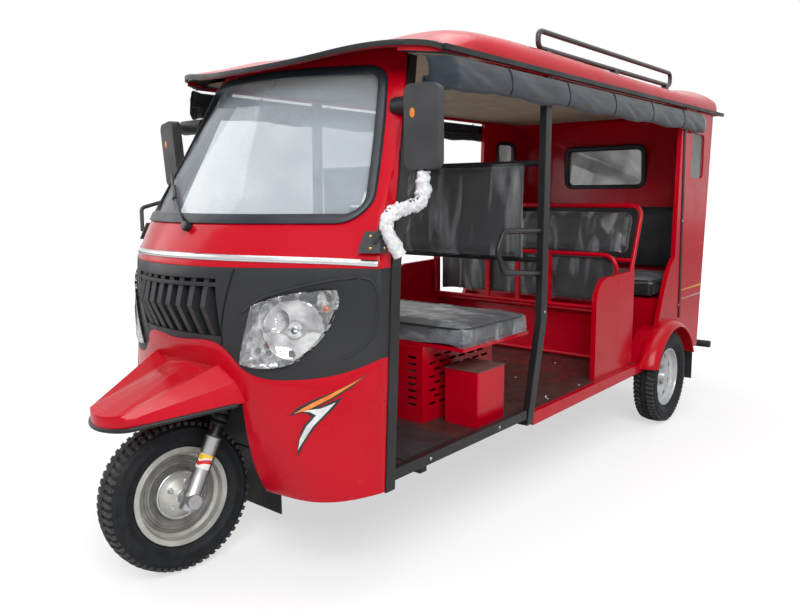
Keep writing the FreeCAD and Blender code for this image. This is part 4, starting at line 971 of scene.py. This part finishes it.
clear_film("driver_cushion_film", "driver_cushion_pad", "vehicle", (0, -0.52, 0.79), (1.31, 0.585),
           (0, 0, 1), 0.09, 0.008, 0.5, film_flat)
clear_film("driver_back_film", "driver_back_pad", "vehicle", (0, -0.345, 1.186), (1.165, 0.385),
           (0, -1, 0), 0.16, 0.009, 0.8, film_upright)
clear_film("middle_back_film", "middle_back_pad", "vehicle", (0, 0.75, 1.05), (1.1, 0.22),
           (0, -0.94, 0.34), 0.12, 0.006, 0.6, film_upright)
clear_film("middle_seat_film", "middle_cushion_pad", "middle_seat", (0, 0.61, 0.82), (1.08, 0.25),
           (0, -1, 0), 0.1, 0.003, 0.6, film_upright)
clear_film("rear_cushion_film", "rear_cushion_pad", "vehicle", (0.36, 1.33, 0.79), (0.44, 0.5),
           (0, 0, 1), 0.1, 0.008, 0.4, film_flat)

# Welts: a cord of the cover's own leatherette is sewn in round each cushion's upper edge.
for name, front, rear, height in (("driver_cushion_welt", -0.752, -0.29, 0.762),
                                  ("rear_cushion_welt", 1.086, 1.6, 0.768)):
    corners = [(-0.585, front, height), (0.585, front, height), (0.585, rear, height),
               (-0.585, rear, height)]
    points = []
    for here, there in zip(corners, corners[1:] + corners[:1]):
        for share in (0.04, 0.35, 0.65, 0.96):
            points.append(Vector(here).lerp(Vector(there), share))
    settle(hose(points + points[:1], 0.0035, 8), name, vinyl)

# Curtains: dark blue-grey canvas rolled up under each gutter, sagging a little between the black
# webbing straps that hold it, its folds running aslant.
canvas = finish("curtain_canvas", (0.009, 0.0125, 0.019), (0.021, 0.029, 0.042), 0.12,
                (0.0012, 0.0003), (0.5, 0.8), specular=0.2)
canvas.node_tree.nodes["Principled BSDF"].inputs["Sheen Weight"].default_value = 0.3
webbing = finish("strap_webbing", (0.008, 0.01, 0.013), (0.015, 0.018, 0.024), 0.01,
                 (0.001, 0.0003), (0.6, 0.8), (1, 1, 6), specular=0.2)
roll_front = -1.035
roll_rear = 1.488
roll_top = 1.7
roll_centre = 0.682
roll_bend = -0.96
strap_places = [-0.62, -0.18, 0.26, 0.7, 1.14]
strap_broad = 2.6
strap_pinch = 0.1
strap_lift = 0.003
sag_depth = 0.007
fold_depth = 0.0055
fold_drop = 0.004
roll_section = [(0.668, 1.7), (0.682, 1.698), (0.693, 1.676), (0.699, 1.65), (0.7, 1.626), (0.692, 1.608),
                (0.68, 1.601), (0.668, 1.605), (0.664, 1.62), (0.668, 1.64), (0.677, 1.648), (0.685, 1.64),
                (0.686, 1.626), (0.679, 1.617)]
strap_section = [(0.666, 1.706), (0.684, 1.704), (0.697, 1.672), (0.7, 1.64), (0.697, 1.615), (0.682, 1.604),
                 (0.666, 1.612), (0.664, 1.66)]


def sag(y):
    # How far the roll hangs between two straps, from 0 to 1
    return min(1, min(abs(y - place) for place in strap_places) / 0.2) ** 1.5


for side, name in ((1, "curtain_left"), (-1, "curtain_right")):
    roll = drawn_line([(x, roll_front, z) for x, z in roll_section])
    bpy.ops.mesh.subdivide(number_cuts=2, smoothness=0.5)
    bpy.ops.mesh.select_all(action="SELECT")
    swept(roll, (0, roll_rear - roll_front, 0))
    ends = roll.data.vertices
    edit(roll, "EDGE", lambda edge: abs(ends[edge.vertices[0]].co.y - ends[edge.vertices[1]].co.y) > 1)
    bpy.ops.mesh.subdivide(number_cuts=210)
    shape_done()
    for vertex in roll.data.vertices:
        spot = vertex.co.copy()
        loose = sag(spot.y)
        hang = min(1, max(0, (roll_top - spot.z) / 0.1))
        aslant = Vector((spot.x * 4, spot.y * 5 + spot.z * 14, spot.z * 2 + side * 5))
        fold = noise.noise(aslant * 2.2) + 0.5 * noise.noise(aslant * 5.1)
        pinch = 1 - strap_pinch * (1 - loose) * hang
        turned = max(0, roll_bend - spot.y)
        out = roll_centre + (spot.x - roll_centre) * pinch + fold_depth * fold * hang * (0.4 + loose)
        drop = sag_depth * loose - strap_lift * (1 - loose) - fold_drop * fold + 0.2 * turned
        vertex.co = (side * (out - 0.7 * turned), spot.y, spot.z - drop * hang)
    thicken(face_out(roll), 0.0015, 0)
    bpy.ops.object.shade_smooth()
    settle(roll, name, canvas)
    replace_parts(roll, "curtains")
    straps = []
    for place in strap_places:
        loop = hose([(side * x, place, z) for x, z in strap_section], 0.002, 8)
        for vertex in loop.data.vertices:
            vertex.co.y = place + (vertex.co.y - place) * strap_broad
        straps.append(loop)
    straps = settle(joined(straps), name + "_straps", webbing)

# Visor: a thin dark sheet laid under the roof's front lip is painted shade, standing in for the shadow under
# the lip.
visor = merged_copy("roof_shell")
edit(visor, "FACE", lambda face: face.normal.z > -0.3 or face.center.y > -0.9)
bpy.ops.mesh.delete(type="FACE")
shape_done()
settle(thicken(visor, 0.002, 1), "visor_lining", trim_plastic)

# Mirrors: grained dark heads on bent arms, each with a silvered glass behind, a small amber
# reflector in front, and a foot plate held by four brass screws. The left arm is still wrapped in
# crinkled film.
reflector = finish("amber_reflector", (0.62, 0.13, 0.008), (0.85, 0.27, 0.02), 0.004,
                   (0.002, 0.0002), (0.2, 0.3), specular=0.6)
silvered = grained(plain("mirror_glass", (0.72, 0.75, 0.77), 0.03, metal=1.0), 0.05, 0.0001, (0.02, 0.06))
brass = finish("yellow_brass", (0.45, 0.3, 0.09), (0.62, 0.44, 0.16), 0.01, (0.002, 0.0001),
               (0.25, 0.45), metal=0.9)
reflector_profile = [(0.0, 0.011), (0.0018, 0.0095), (0.0026, 0.004), (0.0027, 0.0005)]
dots = []
glasses = []
for centre, lean, swing, across in (((0.683, -1.1115, 1.467), 0, 10, -0.03),
                                    ((-0.671, -1.1115, 1.436), -7, -10, -0.02)):
    head = (Matrix.Translation(centre) @ Matrix.Rotation(math.radians(lean), 4, "Y")
            @ Matrix.Rotation(math.radians(swing), 4, "Z"))
    dot = lathe(reflector_profile, (0, 0, 0), (0, -1, 0), 20)
    seat = Matrix.Translation((across, -0.0199, 0.042))
    dot.matrix_world = head @ seat @ Matrix.Diagonal((0.8, 1, 1.4, 1))
    dots.append(dot)
    glass = block((0, 0, 0), (0.1, 0.002, 0.235))
    rounded(glass, 0.02, 5)
    apply_all(glass)
    bpy.ops.object.shade_smooth_by_angle(angle=math.radians(30))
    glass.matrix_world = head @ Matrix.Translation((0, 0.0206, 0))
    glasses.append(glass)
settle(joined(dots), "mirror_reflectors", reflector)
settle(joined(glasses), "mirror_glasses", silvered)
plate_screw_radius = 0.0045
plate_screws = []
for side in (-1, 1):
    toward = Vector((side * 0.61, -0.79, 0))
    spots = []
    for x, y, z in ((0.63, -1.304, 1.1), (0.63, -1.304, 1.136), (0.66, -1.275, 1.1), (0.66, -1.275, 1.136)):
        eye = Vector((side * (x + 0.2), y - 0.26, z))
        found, spot = frame["nodes"]["mirrors"].ray_cast(eye, -toward)[:2]
        if found and abs(spot.x) > 0.58 and spot.y < -1.2:
            spots.append(spot)
    if spots:
        plate_screws.append(screw_heads(spots, toward, plate_screw_radius))
settle(joined(plate_screws), "mirror_plate_screws", brass)
arm_film = finish("crinkled_film", (0.6, 0.61, 0.65), (0.9, 0.9, 0.92), 0.012, (0.008, 0.003),
                  (0.12, 0.35), specular=0.8)
arm_film.node_tree.nodes["Principled BSDF"].inputs["Alpha"].default_value = 0.88
wrap_line = [(0.684, -1.112, 1.33), (0.684, -1.113, 1.275), (0.682, -1.12, 1.235), (0.678, -1.16, 1.226),
             (0.674, -1.21, 1.216), (0.673, -1.262, 1.203), (0.673, -1.284, 1.17), (0.684, -1.272, 1.125),
             (0.7, -1.248, 1.078)]
wrap = hose(wrap_line, 0.018, 32)
edit(wrap)
bpy.ops.mesh.subdivide(number_cuts=1)
bpy.ops.mesh.normals_make_consistent(inside=False)
shape_done()
crumple_depth = 0.012
swell_depth = 0.006
wrap_sink = 0.004
moved = []
for vertex in wrap.data.vertices:
    spot = vertex.co
    crumple = abs(noise.noise(spot * 55)) + 0.6 * abs(noise.noise(spot * 120 + Vector((4, 4, 4))))
    swell = 0.5 + noise.noise(spot * 16 + Vector((1, 2, 3)))
    moved.append(spot + vertex.normal * (crumple_depth * crumple - wrap_sink + swell_depth * swell))
for vertex, spot in zip(wrap.data.vertices, moved):
    vertex.co = spot
settle(wrap, "mirror_arm_film", arm_film)

# Flaps and rear lamps: ribbed black rubber flaps behind the wheels, and red lamps in black bezels on
# the rear wall.
flap_paint = finish("flap_rubber", (0.01, 0.01, 0.011), (0.03, 0.03, 0.031), 0.05, (0.004, 0.0006),
                    (0.5, 0.75), (6, 1, 1), specular=0.35)
dress(flap_paint, "mudflaps")
lamp_red = finish("red_lens", (0.3, 0.004, 0.004), (0.52, 0.014, 0.014), 0.008, (0.004, 0.0008),
                  (0.1, 0.2), (1, 1, 8), specular=0.7, coat=0.4)
dress(lamp_red, "tail_lamps", edge=0.004)
bezel_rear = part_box("tail_lamps")[1].y - 0.014
bezels = []
for side in (-1, 1):
    centre = (side * 0.555, bezel_rear, 0.6)
    bezels.append(frame_ring((0.056, 0.041, 0.014), centre, (1, 0, 0), (0, 0, 1), 0.012, 0.004))
settle(joined(bezels), "tail_lamp_bezels", trim_plastic)

# Fork: telescopic legs with bright sliders and black upper tubes, rubber gaiter rings where they
# meet, and on each slider a small generic warning patch of two chevrons on white.
steer_axis = Vector((0, 0.469472, 0.882948))
steer_base = Vector((0, -1.56086, 0.258))
ahead = Vector((0, -0.882948, 0.469472))
leg_out = 0.103
leg_ahead = 0.035
slider_top = 0.193
stored_turn = math.radians(-9)
patch_foot = 0.088
patch_radius = 0.0274
patch_height = 0.048
link_size = (0.0018, 0.011, 0.052)
patch_wrap = math.radians(110)
patch_turn = math.radians(22)
bright = (0.42, 0.42, 0.42)
black = (0.012, 0.012, 0.013)


def leg_height(tree, place, start, end, tilt=None):
    # From 0 to 1 between two heights along the steering axis
    along = node(tree, "VectorMath", {1: steer_axis}, {0: place}, "DOT_PRODUCT")["Value"]
    if tilt:
        along = node(tree, "Math", {1: -0.6}, {0: tilt, 2: along}, "MULTIPLY_ADD")[0]
    foot = steer_base.dot(steer_axis)
    return node(tree, "MapRange", {"From Min": foot + start, "From Max": foot + end}, {"Value": along})[0]


fork_paint = plain("fork_silver_black", (0.5, 0.5, 0.5), 0.32)
tree = fork_paint.node_tree
shader = tree.nodes["Principled BSDF"].inputs
height = leg_height(tree, node(tree, "TexCoord", {})["Object"], 0, 1)
tree.links.new(ramp(tree, height, ((0, bright), (slider_top, black)), True), shader["Base Color"])
metal = node(tree, "Math", {1: slider_top}, {0: height}, "LESS_THAN")[0]
tree.links.new(metal, shader["Metallic"])
grained(fork_paint, 0.004, 0.0002, (0.24, 0.44))
dress(fork_paint, "fork", edge=0.0015)
patch_paint = plain("chevron_patch", (0.8, 0.8, 0.78), 0.35)
white = (0.78, 0.78, 0.76)
tree = patch_paint.node_tree
place = node(tree, "TexCoord", {})["Object"]
off = node(tree, "SeparateXYZ", {}, {"Vector": place})["X"]
off = node(tree, "Math", {}, {0: off}, "ABSOLUTE")[0]
off = node(tree, "Math", {1: leg_out}, {0: off}, "SUBTRACT")[0]
off = node(tree, "Math", {}, {0: off}, "ABSOLUTE")[0]
height = leg_height(tree, place, 0.083, 0.143, off)
stops = ((0, white), (0.2, (0.6, 0.02, 0.01)), (0.42, white), (0.52, (0.85, 0.55, 0.03)), (0.8, white))
tree.links.new(ramp(tree, height, stops, True), tree.nodes["Principled BSDF"].inputs["Base Color"])
grained(patch_paint, 0.004, 0.0001, (0.3, 0.42))
steer_turn = Matrix.Translation(steer_base) @ Matrix.Rotation(stored_turn, 4, steer_axis)
steer_turn = steer_turn @ Matrix.Translation(-steer_base)
gaiter_profile = [(0.236, 0.0205), (0.238, 0.026), (0.244, 0.0285), (0.25, 0.026), (0.253, 0.0235),
                  (0.258, 0.027), (0.266, 0.029), (0.274, 0.027), (0.277, 0.0235), (0.283, 0.026),
                  (0.29, 0.0275), (0.297, 0.024), (0.3, 0.0205)]
patches = []
gaiters = []
drops = []
for side in (-1, 1):
    leg = steer_base + ahead * leg_ahead + sided(side, (leg_out, 0, 0))
    patch = drawn_line([(patch_radius, 0, 0), (patch_radius, 0, patch_height)])
    bpy.ops.mesh.spin(steps=16, angle=patch_wrap, center=(0, 0, 0), axis=(0, 0, 1))
    shape_done()
    face_out(patch)
    if patch.data.polygons[0].normal.dot(patch.data.polygons[0].center) < 0:
        patch.data.flip_normals()
    thicken(patch, 0.0004, 1)
    turn = Matrix((Vector((1, 0, 0)), -ahead, steer_axis)).transposed().to_4x4()
    place = Matrix.Translation(leg + steer_axis * patch_foot) @ turn
    patch.matrix_world = steer_turn @ place @ Matrix.Rotation(patch_turn, 4, "Z")
    patches.append(baked(patch))
    gaiter = lathe(gaiter_profile, leg, steer_axis, 32)
    gaiter.matrix_world = steer_turn
    gaiters.append(gaiter)
    link = steer_base + ahead * leg_ahead + sided(side, (0.0645, -0.004, -0.026))
    drop = block(link, link_size)
    rounded(drop, 0.0008, 2)
    apply_all(drop)
    drop.matrix_world = steer_turn
    drops.append(drop)
settle(joined(patches), "fork_patches", patch_paint, "steering")
settle(joined(gaiters), "fork_gaiters", edge_rubber, "steering")
settle(joined(drops), "axle_brass_links", brass, "steering")

# Wheels: pressed steel rims with stepped rings, the front one warm grey and the rear ones silver,
# with hub nuts, and new black tyres with fine rings on the sidewalls and chunky staggered lugs.
rim_warm = finish("warm_grey_rim", (0.34, 0.34, 0.32), (0.5, 0.495, 0.465), 0.06, (0.005, 0.0002),
                  (0.3, 0.5), metal=0.25)
dress(rim_warm, "front_rim", edge=0.0015)
rim_bright = finish("silver_rim", (0.43, 0.44, 0.45), (0.58, 0.59, 0.6), 0.08, (0.005, 0.0002),
                    (0.26, 0.46), metal=0.35)
dress(rim_bright, "rear_rim_left", "rear_rim_right", edge=0.0015)
tyre_black = finish("new_tyre", (0.007, 0.008, 0.01), (0.016, 0.018, 0.022), 0.03, (0.002, 0.0003),
                    (0.5, 0.75), specular=0.22)
lug_dusty = finish("dusty_lugs", (0.02, 0.02, 0.02), (0.08, 0.08, 0.074), 0.012, (0.002, 0.0004),
                   (0.65, 0.85), specular=0.2)
spins = {joint["name"]: joint for joint in frame["joints"]}
lug_count = 60
lug_size = (0.0125, 0.0145, 0.036)
lug_slant = 3
tread_depth = 0.007


def wheel_part(whole, joint, name, paint, body):
    # A turned piece made round the z axis, set on its wheel
    hub = Matrix.Translation(Vector(spins[joint]["pos_m"]))
    whole.matrix_world = hub @ facing_turn(spins[joint]["axis"])
    return settle(whole, name, paint, body)


def tyre(name, source, body, joint, width, radius):
    half = width / 2
    tread = radius - tread_depth
    side = [(0.0385, 0.1526), (0.0405, 0.1585), (0.0425, 0.1675), (0.049, 0.1725), (half - 0.0075, 0.182),
            (half - 0.0065, 0.1835), (half - 0.0028, 0.194), (half - 0.0015, 0.1955),
            (half - 0.0012, 0.2035), (half - 0.002, 0.2065), (half - 0.004, radius - 0.034),
            (half - 0.0035, radius - 0.03), (half - 0.011, radius - 0.017), (half - 0.022, tread - 0.0015),
            (0.011, tread), (0.0095, radius - 0.0015), (0.001, radius - 0.001)]
    casing = lathe(side + [(-along, out) for along, out in reversed(side)], steps=120)
    lugs = []
    for hand in (-1, 1):
        lug = block((radius - 0.0068, 0, hand * (half - 0.0265)), lug_size)
        edit(lug, "VERT", lambda corner: hand * corner.co.z > half - 0.02)
        bpy.ops.transform.translate(value=(-0.0075, hand * 0.007, 0))
        bpy.ops.mesh.select_all(action="SELECT")
        bpy.ops.mesh.bevel(offset=0.0012, segments=1)
        bpy.ops.transform.rotate(value=math.radians(lug_slant * hand), orient_axis="Z",
                                 center_override=(0, 0, 0))
        bpy.ops.mesh.spin(steps=lug_count, angle=math.tau, center=(0, 0, 0), axis=(0, 0, 1), dupli=True)
        shape_done()
        lugs.append(lug)
    for piece, ending, paint in ((casing, "_casing", tyre_black), (joined(lugs), "_lugs", lug_dusty)):
        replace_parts(wheel_part(piece, joint, name + ending, paint, body), source)


tyre("front", "front_tyre", "front_wheel", "front_wheel_spin", 0.115, 0.258)
tyre("rear_left", "rear_tyre_left", "rear_wheel_left", "rear_wheel_left_spin", 0.124, 0.252)
tyre("rear_right", "rear_tyre_right", "rear_wheel_right", "rear_wheel_right_spin", 0.124, 0.252)


def nuts(count, ring, start, radius, height):
    # Hexagon nuts with washers in a ring, standing on a disc
    group = []
    for index in range(count):
        swing = math.tau * index / count
        spot = Vector((ring * math.cos(swing), ring * math.sin(swing), start))
        group.append(rod(spot, spot + Vector((0, 0, math.copysign(0.002, height))), radius * 1.35, 20))
        group.append(rod(spot, spot + Vector((0, 0, height)), radius, 6))
        group.append(rod(spot, spot + Vector((0, 0, height * 1.5)), radius * 0.5, 12))
    return group


for side, end in ((1, "left"), (-1, "right")):
    joint = "rear_wheel_" + end + "_spin"
    sense = side * math.copysign(1, spins[joint]["axis"][0])
    parts = nuts(5, 0.048, -0.004 * sense, 0.009, 0.011 * sense)
    wheel_part(joined(parts), joint, "rear_nuts_" + end, steel, "rear_wheel_" + end)
hub_steel = finish("hub_silver", (0.38, 0.39, 0.41), (0.68, 0.69, 0.71), 0.02, (0.003, 0.0002),
                   (0.22, 0.4), metal=0.7)
rim_shade = finish("dish_grey", (0.14, 0.14, 0.135), (0.27, 0.268, 0.25), 0.05, (0.004, 0.0003),
                   (0.3, 0.5), metal=0.3)
cap_profile = [(0.0575, 0.004), (0.0595, 0.012), (0.0595, 0.024), (0.0575, 0.0275), (0.0565, 0.0275)]
lip_profile = [(0.0255, 0.082), (0.028, 0.079), (0.0262, 0.0745), (0.022, 0.0745)]
dish_profile = [(0.0208, 0.0785), (0.0215, 0.083), (0.007, 0.087), (0.0115, 0.099), (0.0135, 0.103),
                (0.0118, 0.109), (0.0148, 0.113), (0.0148, 0.118), (0.0108, 0.122), (0.0105, 0.1275),
                (0.0078, 0.1345)]
parts = []
dishes = []
for hand in (-1, 1):
    parts.extend(nuts(5, 0.05, hand * 0.044, 0.0075, hand * 0.01))
    for profile, group, steps in ((cap_profile, parts, 32), (lip_profile, parts, 48),
                                  (dish_profile, dishes, 72)):
        group.append(lathe([(hand * along, out) for along, out in profile], steps=steps))
wheel_part(joined(parts), "front_wheel_spin", "front_hub_nuts", hub_steel, "front_wheel")
wheel_part(joined(dishes), "front_wheel_spin", "front_rim_dish", rim_shade, "front_wheel")
